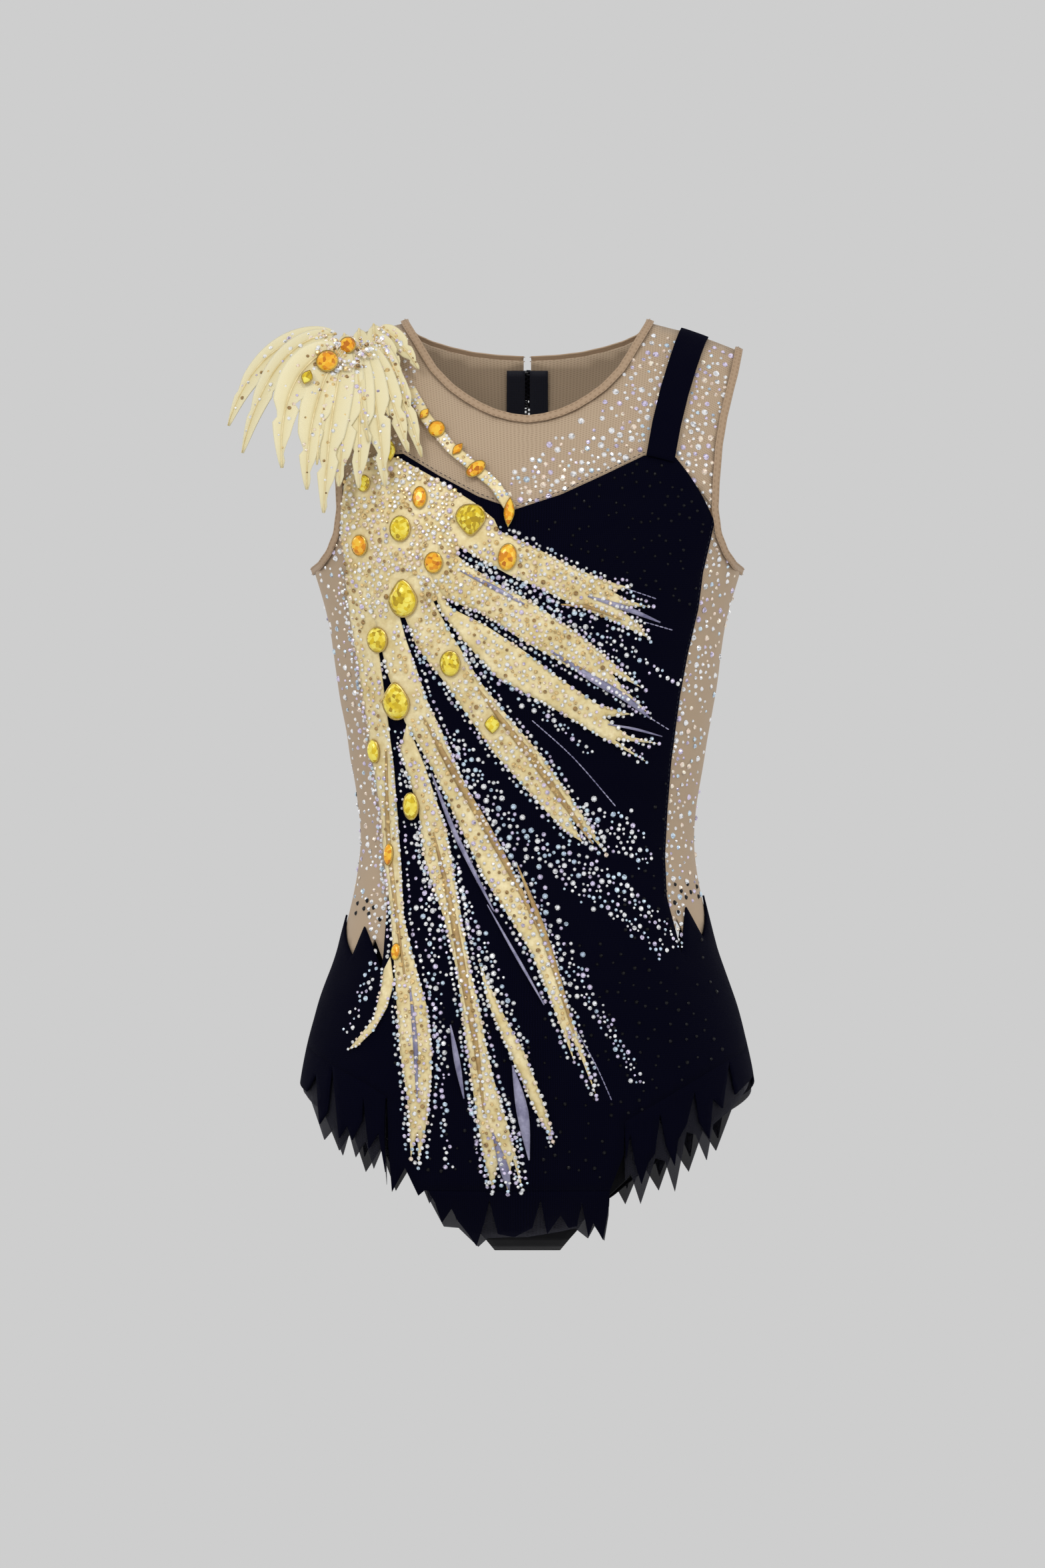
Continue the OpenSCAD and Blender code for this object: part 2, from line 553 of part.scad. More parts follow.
HEM_BACK_SIDE = [
    [side, -146, -152], [128, -160, -168], [118, -182, -190], [110, -172, -182], [101, -196, -206],
    [92, -182, -192], [82, -208, -218], [72, -194, -204], [61, -218, -226], [53, -204, -214]
];
HEM_BACK_CENTRE = [
    [-51.8, -202, -213], [-44, -228, -234], [-35, -210, -221], [-25, -233, -236], [-16, -212, -222],
    [-8, -232, -235], [0, -214, -224], [8, -232, -235], [16, -212, -222], [25, -233, -236],
    [35, -210, -221], [44, -228, -234], [51.8, -202, -213]
];

// The lower edge of the front and of the back, as [x, z] from the side seam inwards
function front_foot(k) = concat([[side, -118]], [for (row = FRONT_FOOT) [abs(row[k]), row[0]]]);
back_foot = concat([[side, -118]], [for (row = BACK_FOOT) [row[1], row[0]]], [[0, -163]]);

// Height of that edge at x, less the seam
function foot_z(foot, x) =
    let (by_x = [for (k = [len(foot)-1:-1:0]) [min(foot[k][0], hip_w), foot[k][1]]],
         near = lookup(abs(x), by_x),
         by_angle = [for (k = [len(foot)-1:-1:0]) [angle_at(foot[k][0], foot[k][1]), foot[k][1]]])
    lookup(angle_at(abs(x), near), by_angle) - 2 * seam;

// A flap of one layer; col is 1 for the navy layer and 2 for the mesh; face turns it to the back
module flap(hem, col, top, off, thick, face) {
    top_edge = [for (p = hem) off_seam(face([p[0], top(p[0])]))];
    hem_edge = [for (p = hem) off_seam(face([p[0], p[col]]))];
    panel(dense(top_edge, top_edge), dense(hem_edge, top_edge), 5, off, thick);
}
// A flap's point kept clear of the side seam, so that front and back flaps lift past each other
function off_seam(q) =
    let (a = abs(q[0])) [sign(q[0]) * (a < 90 ? min(a, 90 - flap_clear) : max(a, 90 + flap_clear)), q[1]];
// A line with points added, so that the guide beside it turns no more than 5 degrees a step
function dense(line, guide) =
    let (last = len(line) - 1)
    [for (k = [0:last-1])
        let (n = ceil(abs(guide[k + 1][0] - guide[k][0]) / 5))
        for (s = [0:n-1]) mix(line[k], line[k + 1], s / n),
     line[last]];
module skirt(hem, top, face = function (p) front(p))
    color(navy) flap(hem, 1, top, 0, cloth, face);
module underskirt(hem, top, face = function (p) front(p))
    color(black) flap(hem, 2, top, layer_underskirt, mesh, face);

sides_foot = [for (k = [1, 2]) [for (p = front_foot(k)) if (p[1] > -165) p]];
right_top = function (x) foot_z(sides_foot[0], x);
left_top = function (x) foot_z(sides_foot[1], x);
back_top = function (x) foot_z(back_foot, x);
centre_top = function (x) -207.2;
back_right = function (p) let (q = rear(p)) [-q[0], q[1]];
back_left = function (p) rear(p);

module skirt_front_right() skirt(HEM_RIGHT, right_top);
module skirt_front_left() skirt(HEM_LEFT, left_top);
module skirt_front_centre() skirt(HEM_CENTRE, centre_top);
module skirt_back_right() skirt(HEM_BACK_SIDE, back_top, back_right);
module skirt_back_left() skirt(HEM_BACK_SIDE, back_top, back_left);
module skirt_back_centre() skirt(HEM_BACK_CENTRE, back_top, back_left);
module underskirt_front_right() underskirt(HEM_RIGHT, right_top);
module underskirt_front_left() underskirt(HEM_LEFT, left_top);
module underskirt_front_centre() underskirt(HEM_CENTRE, centre_top);
module underskirt_back_right() underskirt(HEM_BACK_SIDE, back_top, back_right);
module underskirt_back_left() underskirt(HEM_BACK_SIDE, back_top, back_left);
module underskirt_back_centre() underskirt(HEM_BACK_CENTRE, back_top, back_left);

// ---- Zip ----

ZIP_LINE = [for (k = [0:16]) mix(zip_top, zip_bottom, k / 16)];

module zip_tapes() color(navy)
    for (way = [-1, 1])
        panel([for (z = ZIP_LINE) back_left([way * 1.6, z])],
              [for (z = ZIP_LINE) back_left([way * 13, z])], 2, layer_zip, 0.9);

module zip_teeth() color(black)
    panel([for (z = ZIP_LINE) back_left([-2, z])],
          [for (z = ZIP_LINE) back_left([2, z])], 2, -0.4, 1.6);

// Place something on the centre back at height z: its Z outwards, its Y up the back
module on_back(z) {
    up = outward(180, z);
    tilt = atan2(up[2], up[1]);
    at = lift(180, z, 0);
    translate([0, at[1], at[2]]) rotate([90 - tilt, 0, 180]) children();
}

slider_z = zip_top - 8;
module zip_slider() color(silver) on_back(slider_z) {
    translate([-4, -6, 1.7]) cube([8, 12, 2.2]);
    for (s = [-2.4, 1.2]) translate([s, 1, 3.9]) cube([1.2, 4, 2.4]);
}
module zip_pull() color(silver) on_back(slider_z) {
    translate([-0.8, 3, 5.1]) rotate([0, 90, 0]) cylinder(d = 1.6, h = 1.6, $fn = 24);
    translate([-0.8, -0.5, 4.5]) cube([1.6, 3, 1]);
    translate([-2.6, -19, 4.4]) difference() {
        cube([5.2, 19, 1.2]);
        translate([2.6, 4, -1]) cylinder(d = 2.4, h = 4, $fn = 24);
    }
}

// ---- The nodes ----

front_bodice();
back_bodice_right();
back_bodice_left();
front_yoke_mesh();
back_yoke_right();
back_yoke_left();
side_mesh_right();
side_mesh_left();
shoulder_strap();
neck_binding();
armhole_binding_right();
armhole_binding_left();
leg_bindings();
brief_front();
brief_back();
gusset();
gusset_lining();
ray_root();
ray_1();
ray_2();
ray_3();
ray_4();
ray_5();
ray_6();
ray_7();
ray_8();
hip_leaf();
silver_slivers();
neckline_trim();
epaulette_base();
feather_1();
feather_2();
feather_3();
feather_4();
feather_5();
feather_6();
feather_7();
feather_8();
arm_feathers();
neck_leaves();
round_stones();
oval_stones();
pear_stones();
navette_stones();
skirt_front_right();
skirt_front_left();
skirt_front_centre();
skirt_back_right();
skirt_back_left();
skirt_back_centre();
underskirt_front_right();
underskirt_front_left();
underskirt_front_centre();
underskirt_back_right();
underskirt_back_left();
underskirt_back_centre();
zip_tapes();
zip_teeth();
zip_slider();
zip_pull();
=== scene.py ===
"""The leotard's looks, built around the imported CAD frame. Lengths are millimetres until a mesh is made."""

import math
import random

import bpy
import numpy as np
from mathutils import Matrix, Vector
from mathutils.geometry import delaunay_2d_cdt


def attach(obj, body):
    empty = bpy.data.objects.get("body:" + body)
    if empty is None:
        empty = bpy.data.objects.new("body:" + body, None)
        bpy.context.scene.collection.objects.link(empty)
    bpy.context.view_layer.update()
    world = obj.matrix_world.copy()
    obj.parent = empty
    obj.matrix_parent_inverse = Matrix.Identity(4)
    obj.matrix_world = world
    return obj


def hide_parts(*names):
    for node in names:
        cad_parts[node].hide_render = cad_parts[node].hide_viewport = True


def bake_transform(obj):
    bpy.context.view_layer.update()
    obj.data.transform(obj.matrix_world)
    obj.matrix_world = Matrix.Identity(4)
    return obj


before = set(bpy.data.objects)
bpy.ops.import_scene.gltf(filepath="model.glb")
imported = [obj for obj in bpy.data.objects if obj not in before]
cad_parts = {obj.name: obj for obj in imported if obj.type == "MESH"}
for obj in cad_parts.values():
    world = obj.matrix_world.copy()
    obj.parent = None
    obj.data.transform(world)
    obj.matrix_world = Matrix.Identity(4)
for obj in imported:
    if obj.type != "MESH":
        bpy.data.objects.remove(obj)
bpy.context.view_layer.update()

MM = 0.001
SIDES = ((1, "left"), (-1, "right"))

# ---- The torso surface, the same one as the CAD panels lie on ----

WAIST, HIP, CHEST = 103.0, 139.0, 130.0
SHOULDER_Z, SHOULDER_FALL, CAP_H, SQUARE_N = 322.0, 0.31, 90.0, 2.3
# Level sections: height, half width, depth in front of the axis, depth behind it
BODY = np.array([
    [-262, HIP - 9, 8, 28], [-235, HIP - 5, 46, 48], [-200, HIP - 1, 72, 84],
    [-150, HIP, 85, 98], [-100, HIP - 10.5, 86, 88], [-60, WAIST + 12, 80, 73],
    [0, WAIST, 72, 62], [60, WAIST + 7, 75, 66], [100, CHEST - 13, 80, 72],
    [135, CHEST - 8, 83, 77], [165, CHEST, 84, 80], [200, CHEST + 12, 80, 78],
    [240, CHEST + 26, 70, 66], [280, CHEST + 38, 58, 54], [325, CHEST + 48, 46, 44],
])
# Millimetres of girth for each degree round the torso, on average
GIRTH = 1.9


def hermite(a, b, leave, arrive, t):
    """A cubic from a to b with a slope at each end."""
    return (a * (1 - 3*t**2 + 2*t**3) + leave * (t - 2*t**2 + t**3)
            + b * (3*t**2 - 2*t**3) + arrive * (t**3 - t**2))


def profile(z, column):
    """A column of BODY at heights z, on a smooth curve through the sections."""
    z = np.asarray(z, float)
    zs, vs = BODY[:, 0], BODY[:, column]
    k = np.clip(np.searchsorted(zs, z, "right") - 1, 0, len(zs) - 2)
    before, after = np.maximum(k - 1, 0), np.minimum(k + 2, len(zs) - 1)
    h = zs[k + 1] - zs[k]
    return hermite(vs[k], vs[k + 1], h * (vs[k + 1] - vs[before]) / (zs[k + 1] - zs[before]),
                   h * (vs[after] - vs[k]) / (zs[after] - zs[k]), (z - zs[k]) / h)


def spow(v, e):
    return np.sign(v) * np.abs(v) ** e


def skin(u, z):
    """Points of the torso: u is the angle round it, 0 in front, 90 at the wearer's left side."""
    u, z = np.broadcast_arrays(np.radians(np.asarray(u, float)), np.asarray(z, float))
    x = profile(z, 1) * spow(np.sin(u), 2 / SQUARE_N)
    ahead = np.cos(u)
    depth = np.where(ahead >= 0, profile(z, 2), profile(z, 3))
    below = SHOULDER_Z - SHOULDER_FALL * (np.abs(x) - 75) - z
    cap = np.sqrt(1 - (1 - np.clip(below / CAP_H, 0.0005, 1)) ** 2)
    return np.stack([x, -depth * spow(ahead, 2 / SQUARE_N) * cap, z], -1)


def unit(v):
    return v / np.maximum(np.linalg.norm(v, axis=-1, keepdims=True), 1e-9)


def outward(u, z):
    u, z = np.asarray(u, float), np.asarray(z, float)
    return unit(np.cross(skin(u + 0.6, z) - skin(u - 0.6, z), skin(u, z + 0.5) - skin(u, z - 0.5)))


def lift(u, z, off):
    return skin(u, z) + np.asarray(off, float)[..., None] * outward(u, z)


def angle_at(x, z):
    """The angle round the front at which the torso has this x."""
    x = np.asarray(x, float)
    share = np.clip(np.abs(x) / profile(z, 1), 0, 0.999999)
    return np.sign(x) * np.degrees(np.arcsin(share ** (SQUARE_N / 2)))


# ---- Lines and outlines: lists of [x, z] turned into [girth, z] ----

SIDE = 999.0  # an x beyond the torso, which stands for its side seam


def resample(points, step, closed=False):
    """Points every step or less along straight lines between the given ones."""
    pts = [np.asarray(p, float) for p in points]
    pts += pts[:1] if closed else []
    out = []
    for a, b in zip(pts, pts[1:]):
        n = max(1, int(math.ceil(np.linalg.norm(b - a) / step)))
        out += [a + (b - a) * k / n for k in range(n)]
    return np.array(out if closed else out + pts[-1:])


def smooth_line(points, n):
    """A smooth curve through the points, with n steps between each pair."""
    p = np.asarray(points, float)
    out = []
    for k in range(len(p) - 1):
        leave, arrive = (p[k + 1] - p[max(k - 1, 0)]) / 2, (p[min(k + 2, len(p) - 1)] - p[k]) / 2
        out += [hermite(p[k], p[k + 1], leave, arrive, s / n) for s in range(n)]
    return np.array(out + [p[-1]])


def inside(p, ring):
    """Which points are within a closed ring."""
    hit = np.zeros(len(p), bool)
    x, y = p[:, 0], p[:, 1]
    for a, b in zip(ring, np.roll(ring, -1, 0)):
        crosses = (a[1] > y) != (b[1] > y)
        hit ^= crosses & (x < a[0] + (y - a[1]) * (b[0] - a[0]) / (b[1] - a[1] + 1e-12))
    return hit


def near(p, line):
    """Distance from each point to a line through points."""
    line = np.asarray(line, float)
    best = np.full(len(p), 1e9)
    for a, b in zip(line, line[1:]):
        d = b - a
        t = np.clip(((p - a) @ d) / max(d @ d, 1e-9), 0, 1)
        best = np.minimum(best, np.linalg.norm(p - a - t[:, None] * d, axis=1))
    return best


def edge(points, way=1, behind=False, step=5.0):
    """[girth, z] along [x, z] points; way -1 turns it to the wearer's right."""
    out = []
    for a, b in zip(points, points[1:] + points[-1:]):
        straight = SIDE in (abs(a[0]), abs(b[0])) or a == b
        out += [a] if straight else [tuple(p) for p in resample([a, b], step)[:-1]]
    u = np.array([90.0 if abs(x) == SIDE else abs(float(angle_at(x, z))) for x, z in out])
    sign = np.array([math.copysign(1.0, x) for x, _ in out]) * way
    return np.stack([sign * (180 - u if behind else u) * GIRTH, [z for _, z in out]], -1)


def outline(*edges, step=4.0):
    """A closed ring through the edges, without repeated points."""
    ring = resample(np.concatenate(edges), step, closed=True)
    return ring[np.linalg.norm(ring - np.roll(ring, 1, 0), axis=1) > 0.3]


# ---- Meshes ----

def make_mesh(name, points, faces, material, smooth=True, weave=None):
    mesh = bpy.data.meshes.new(name)
    mesh.from_pydata([tuple(p) for p in np.asarray(points) * MM], [], faces)
    mesh.validate()
    mesh.update()
    if smooth:
        mesh.polygons.foreach_set("use_smooth", [True] * len(mesh.polygons))
    if weave is not None:
        flat = np.zeros((len(weave), 3), np.float32)
        flat[:, :2] = weave
        mesh.attributes.new("weave", "FLOAT_VECTOR", "POINT").data.foreach_set("vector", flat.ravel())
    mesh.materials.append(material)
    piece = bpy.data.objects.new(name, mesh)
    bpy.context.scene.collection.objects.link(piece)
    return piece


def thicken(piece, thick, offset=-1, even_offset=False):
    solid = piece.modifiers.new("thickness", "SOLIDIFY")
    solid.thickness, solid.offset, solid.use_even_offset = thick * MM, offset, even_offset
    return piece


def triangulate(ring, spacing):
    """Triangles that fill a ring in the plane, nearly even in size."""
    low, high = ring.min(0), ring.max(0)
    rows = []
    for k, z in enumerate(np.arange(low[1], high[1], spacing * 0.866)):
        xs = np.arange(low[0] + (k % 2) * spacing / 2, high[0], spacing)
        rows.append(np.stack([xs, np.full(len(xs), z)], -1))
    grid = np.concatenate(rows)
    grid = grid[inside(grid, ring)]
    grid = grid[near(grid, np.vstack([ring, ring[:1]])) > spacing * 0.45]
    loop = list(range(len(ring)))
    if np.sum(ring[:, 0] * np.roll(ring[:, 1], -1) - np.roll(ring[:, 0], -1) * ring[:, 1]) < 0:
        loop.reverse()
    spots = [Vector(p) for p in np.concatenate([ring, grid])]
    verts, _, faces, *_ = delaunay_2d_cdt(spots, [], [loop], 1, 1e-4)
    return np.array([tuple(v) for v in verts]), [tuple(f) for f in faces]


def ripple(flat, size):
    """Soft, low unevenness of worn cloth over [girth, z] points."""
    draw = np.random.default_rng(5)
    out = np.zeros(len(flat))
    for _ in range(7):
        angle, wave, phase = draw.uniform(0, math.pi), draw.uniform(25, 90), draw.uniform(0, 2 * math.pi)
        along = flat[:, 0] * math.cos(angle) + flat[:, 1] * math.sin(angle)
        out += np.sin(along / wave * 2 * math.pi + phase)
    return out * size / 7


def panel(name, ring, off, thick, material, spacing=6.0, shape=None, wave=0.25):
    """A sheet of cloth on the torso within a ring of [girth, z] points. shape adds to its offset."""
    flat, faces = triangulate(ring, spacing)
    offs = off + ripple(flat, wave) + (shape(flat) if shape else 0)
    piece = make_mesh(name, lift(flat[:, 0] / GIRTH, flat[:, 1], offs), faces, material, weave=flat)
    return thicken(piece, thick, -1, True)


def lattice(name, rows, material, thick):
    """A sheet of quads through rows of points, with its weave measured along the first row and column."""
    rows = np.asarray(rows, float)
    down, across = rows.shape[:2]
    girth = np.concatenate([[0], np.cumsum(np.linalg.norm(np.diff(rows, axis=1), axis=2).mean(0))])
    along = np.concatenate([[0], np.cumsum(np.linalg.norm(np.diff(rows, axis=0), axis=2).mean(1))])
    weave = np.stack(np.meshgrid(girth - girth[-1] / 2, along), -1).reshape(-1, 2)
    faces = [(r * across + c, r * across + c + 1, (r + 1) * across + c + 1, (r + 1) * across + c)
             for r in range(down - 1) for c in range(across - 1)]
    return thicken(make_mesh(name, rows.reshape(-1, 3), faces, material, weave=weave), thick, 0)


def tube(name, line, radii, material, sides):
    """A round cord along points."""
    line = np.asarray(line, float)
    n = len(line)
    way = unit(np.gradient(line, axis=0))
    across = unit(np.cross(way, unit(np.cross(way, np.array([0.3, 0.2, 0.93])))))
    ups = np.cross(across, way)
    turn = np.linspace(0, 2 * math.pi, sides, endpoint=False)
    ring = across[:, None] * np.cos(turn)[None, :, None] + ups[:, None] * np.sin(turn)[None, :, None]
    points = (line[:, None] + ring * np.broadcast_to(radii, (n,))[:, None, None]).reshape(-1, 3)
    faces = [(r * sides + (k + 1) % sides, (r + 1) * sides + (k + 1) % sides, (r + 1) * sides + k, r * sides + k)
             for r in range(n - 1) for k in range(sides)]
    faces += [tuple(range(sides)), tuple(range(n * sides - 1, (n - 1) * sides - 1, -1))]
    return make_mesh(name, points, faces, material)


# ---- Materials ----

def srgb(r, g, b):
    """A colour picked on a screen, as the linear values that the shader wants."""
    return tuple((c / 255 / 12.92 if c / 255 <= 0.04045 else ((c / 255 + 0.055) / 1.055) ** 2.4)
                 for c in (r, g, b)) + (1.0,)


def scaled(color, by):
    return tuple(min(c * by, 1.0) for c in color[:3]) + (1.0,)


class Shader:
    """A Principled material with short ways to add nodes to it."""

    def __init__(self, name, color, roughness, **settings):
        self.material = bpy.data.materials.new(name)
        self.material.use_nodes = True
        self.tree = self.material.node_tree
        self.bsdf = self.tree.nodes["Principled BSDF"]
        self.bsdf.inputs["Base Color"].default_value = color
        self.bsdf.inputs["Roughness"].default_value = roughness
        for key, value in settings.items():
            self.bsdf.inputs[key.replace("_", " ")].default_value = value

    def feed(self, socket, value):
        if isinstance(value, bpy.types.NodeSocket):
            self.tree.links.new(value, socket)
        else:
            socket.default_value = value

    def add(self, kind, inputs=None, **settings):
        node = self.tree.nodes.new(kind)
        for key, value in settings.items():
            setattr(node, key, value)
        for key, value in (inputs or {}).items():
            self.feed(node.inputs[key], value)
        return node

    def math(self, op, *values):
        return self.add("ShaderNodeMath", dict(enumerate(values)), operation=op).outputs[0]

    def times(self, a, b):
        return self.math("MULTIPLY", a, b)

    def plus(self, a, b):
        return self.math("ADD", a, b)

    def where(self):
        return self.add("ShaderNodeTexCoord").outputs["Object"]

    def place(self):
        """Millimetres along the cloth: girth and height."""
        weave = self.add("ShaderNodeAttribute", attribute_name="weave").outputs["Vector"]
        split = self.add("ShaderNodeSeparateXYZ", {0: weave})
        return split.outputs[0], split.outputs[1]

    def noise(self, per_metre, detail=2.0, rough=0.5):
        return self.add("ShaderNodeTexNoise", {"Scale": per_metre, "Detail": detail, "Roughness": rough,
                                               "Vector": self.where()}).outputs["Fac"]

    def cells(self, per_metre):
        return self.add("ShaderNodeTexVoronoi", {"Scale": per_metre, "Vector": self.where()}).outputs["Color"]

    def ramp(self, value, *stops):
        node = self.add("ShaderNodeValToRGB", {0: value})
        ends = node.color_ramp.elements
        while len(ends) < len(stops):
            ends.new(0.5)
        for end, (at, color) in zip(ends, stops):
            end.position, end.color = at, color
        return node.outputs[0]

    def mix(self, share, a, b):
        return self.add("ShaderNodeMix", {0: share, 6: a, 7: b}, data_type="RGBA").outputs[2]

    def color(self, out):
        self.feed(self.bsdf.inputs["Base Color"], out)

    def rough(self, value, low, high):
        node = self.add("ShaderNodeMapRange", {"To Min": low, "To Max": high, "Value": value})
        self.feed(self.bsdf.inputs["Roughness"], node.outputs[0])

    def bump(self, height, depth_mm, strength=1.0):
        normal = self.bsdf.inputs["Normal"]
        node = self.add("ShaderNodeBump", {"Strength": strength, "Distance": depth_mm * MM, "Height": height})
        if normal.is_linked:
            self.feed(node.inputs["Normal"], normal.links[0].from_socket)
        self.feed(normal, node.outputs[0])

    def knit(self, period):
        """Small ribs of a stretch knit, with each column's stitches half a step off the next's."""
        girth, height = self.place()
        column = self.math("SINE", self.times(girth, 2 * math.pi / period))
        row = self.math("SINE", self.plus(self.times(height, 1.4 * math.pi / period), self.times(column, 1.6)))
        return self.plus(self.times(row, 0.25), self.plus(self.times(column, 0.25), 0.5))

    def net(self, period):
        """A fine net: 1 on the threads and 0 in the holes."""
        girth, height = self.place()
        k = 2 * math.pi / period
        waves = [self.math("COSINE", self.plus(self.times(girth, k * a), self.times(height, k * b)))
                 for a, b in ((1.0, 0.0), (0.5, 0.87), (-0.5, 0.87))]
        total = self.plus(self.plus(waves[0], waves[1]), waves[2])
        return self.math("SUBTRACT", 1.0, self.times(self.plus(total, 1.5), 0.222))


def cloth(name, dark, light, tint, roughness=0.7, period=0.7, sheen=0.1, depth=0.12, net=False, pile=False,
          specular=0.3, alpha=1.0):
    s = Shader(name, srgb(*light), roughness, Sheen_Weight=sheen, Sheen_Roughness=0.45, Sheen_Tint=srgb(*tint),
               Specular_IOR_Level=specular, Alpha=alpha)
    weave = s.net(period) if net else s.knit(period)
    # Painted shade: the colour follows the weave's relief, darker in the knit's grooves and the net's holes; the
    # noise mixes in tone that differs at random.
    s.color(s.mix(s.times(s.noise(14, 3), 0.35), s.mix(weave, srgb(*dark), srgb(*light)), srgb(*dark)))
    s.bump(weave, depth, 0.6)
    s.bump(s.noise(2600, 1), 0.05, 0.5)
    if pile:
        s.bump(s.noise(5200, 2), 0.1, 0.6)
    s.rough(s.noise(60, 2), roughness - 0.07, roughness + 0.07)
    return s.material


def satin(name, dark, light, streak, metal, roughness):
    """Printed satin: fine threads, soft clouds of the print and brushed streaks down the ray."""
    s = Shader(name, srgb(*light), roughness, Metallic=metal, Sheen_Weight=0.15, Sheen_Roughness=0.4)
    threads = s.knit(0.55)
    cloud = s.ramp(s.noise(90, 3, 0.6), (0.38, (0, 0, 0, 1)), (0.68, (1, 1, 1, 1)))
    fine = s.ramp(s.noise(420, 2, 0.6), (0.35, (0, 0, 0, 1)), (0.75, (1, 1, 1, 1)))
    s.color(s.mix(s.times(fine, 0.45), s.mix(cloud, srgb(*light), srgb(*dark)), srgb(*streak)))
    s.bump(threads, 0.06, 0.5)
    s.rough(s.noise(240, 2), roughness - 0.1, roughness + 0.12)
    return s.material


def feather_satin():
    """Stiffened satin cut as feathers: barbs slant back from the midrib. The colour has painted shade, darker at
    the rib where the feather folds and in stripes along the barbs.
    """
    s = Shader("cream feather", srgb(230, 218, 172), 0.5, Sheen_Weight=0.25, Sheen_Roughness=0.4)
    across, along = s.place()
    off = s.math("ABSOLUTE", across)
    height = s.plus(s.times(s.math("SINE", s.plus(s.times(along, 7.5), s.times(off, 6.0))), 0.5), 0.5)
    # Painted shade: darker at the rib where the feather folds, paler towards its edges.
    painted_rib_shade = s.ramp(s.times(off, 0.13), (0.0, srgb(206, 188, 132)), (0.2, srgb(232, 220, 174)),
                        (1.0, srgb(242, 234, 198)))
    # Painted shade in stripes along the barbs, on the same wave as their relief.
    shade = s.mix(s.times(height, 0.25), painted_rib_shade, srgb(204, 190, 142))
    s.color(s.mix(s.times(s.noise(120, 3), 0.3), shade, srgb(222, 208, 160)))
    s.bump(height, 0.12, 0.5)
    s.rough(s.noise(300, 2), 0.42, 0.62)
    return s.material


def stone(name, dark, mid, light):
    """Foiled glass with painted reflections: cells of painted glint and painted shade in the colour stand in for
    the lights and darks that the facets show, changing within the stone.
    """
    s = Shader(name, srgb(*mid), 0.06, Metallic=0.1, Coat_Weight=0.35, Coat_Roughness=0.03, IOR=1.45)
    # Painted reflections: cells darker and lighter than the stone's colour, as painted shade and painted glints of
    # the facets.
    spark = s.ramp(s.cells(420), (0.15, srgb(*dark)), (0.45, srgb(*mid)), (0.8, srgb(*light)))
    s.color(s.mix(s.times(s.noise(160, 2), 0.4), spark, srgb(*mid)))
    return s.material


def crystal(name, rgb, metal=0.3, roughness=0.12, coat=0.6, specular=0.5):
    """A small foiled crystal with painted reflections: its colour is painted darker and lighter in cells within
    the stone, as shade and glints of its facets.
    """
    color = srgb(*rgb)
    s = Shader(name, color, roughness, Metallic=metal, Coat_Weight=coat, Coat_Roughness=0.02,
               Specular_IOR_Level=specular)
    # Painted glints and painted shade: cells lighter and darker than the crystal's colour.
    s.color(s.ramp(s.cells(900), (0.12, scaled(color, 0.45)), (0.4, color), (0.85, scaled(color, 1.3))))
    return s.material


def metal(name, rgb, roughness, metallic=1.0):
    color = srgb(*rgb)
    s = Shader(name, color, roughness, Metallic=metallic)
    s.color(s.mix(s.times(s.noise(300, 3), 0.5), color, scaled(color, 0.6)))
    s.rough(s.noise(900, 2), roughness * 0.7, roughness * 1.5)
    s.bump(s.noise(1500, 2), 0.01, 0.3)
    return s.material


NAVY = cloth("navy velvet", (2, 2, 11), (7, 7, 26), (60, 70, 150), 0.85, 0.9, 0.02, pile=True, specular=0.03)
NUDE_MESH = cloth("nude mesh", (158, 136, 112), (190, 168, 142), (225, 210, 195), 0.7, 1.15, 0.12, 0.1, net=True)
NUDE_TRIM = cloth("nude binding", (160, 134, 108), (186, 160, 132), (230, 215, 200), 0.6, 0.7, 0.15, 0.1)
BLACK = cloth("black lycra", (3, 3, 5), (9, 9, 13), (70, 70, 90), 0.55, 0.7, 0.05, specular=0.04)
BLACK_MESH = cloth("black mesh", (10, 10, 16), (36, 36, 46), (110, 110, 125), 0.6, 1.4, 0.2, 0.15, net=True,
                   specular=0.08, alpha=0.8)
COTTON = cloth("cotton lining", (196, 190, 178), (222, 217, 206), (255, 255, 255), 0.9, 0.9)
ZIP_TAPE = cloth("zip tape", (8, 9, 18), (22, 24, 40), (90, 95, 130), 0.7, 1.1)
THREAD = cloth("nude thread", (150, 124, 98), (176, 150, 122), (230, 215, 200), 0.7, 0.5, 0.2)
NAVY_THREAD = cloth("navy thread", (8, 9, 20), (24, 26, 44), (90, 95, 130), 0.7, 0.5, 0.2)
GOLD = satin("gold applique", (222, 202, 142), (246, 232, 186), (204, 174, 112), 0.1, 0.5)
BRONZE = satin("bronze applique", (168, 134, 84), (198, 168, 108), (120, 92, 60), 0.2, 0.45)
SILVER = satin("silver applique", (112, 110, 142), (166, 164, 190), (90, 88, 120), 0.3, 0.4)
FEATHER = feather_satin()
FOIL = metal("gold foil rim", (214, 186, 110), 0.25)
METAL = metal("dark enamel", (26, 26, 34), 0.3, 0.6)
COIL = metal("zip coil", (16, 17, 26), 0.35, 0.0)
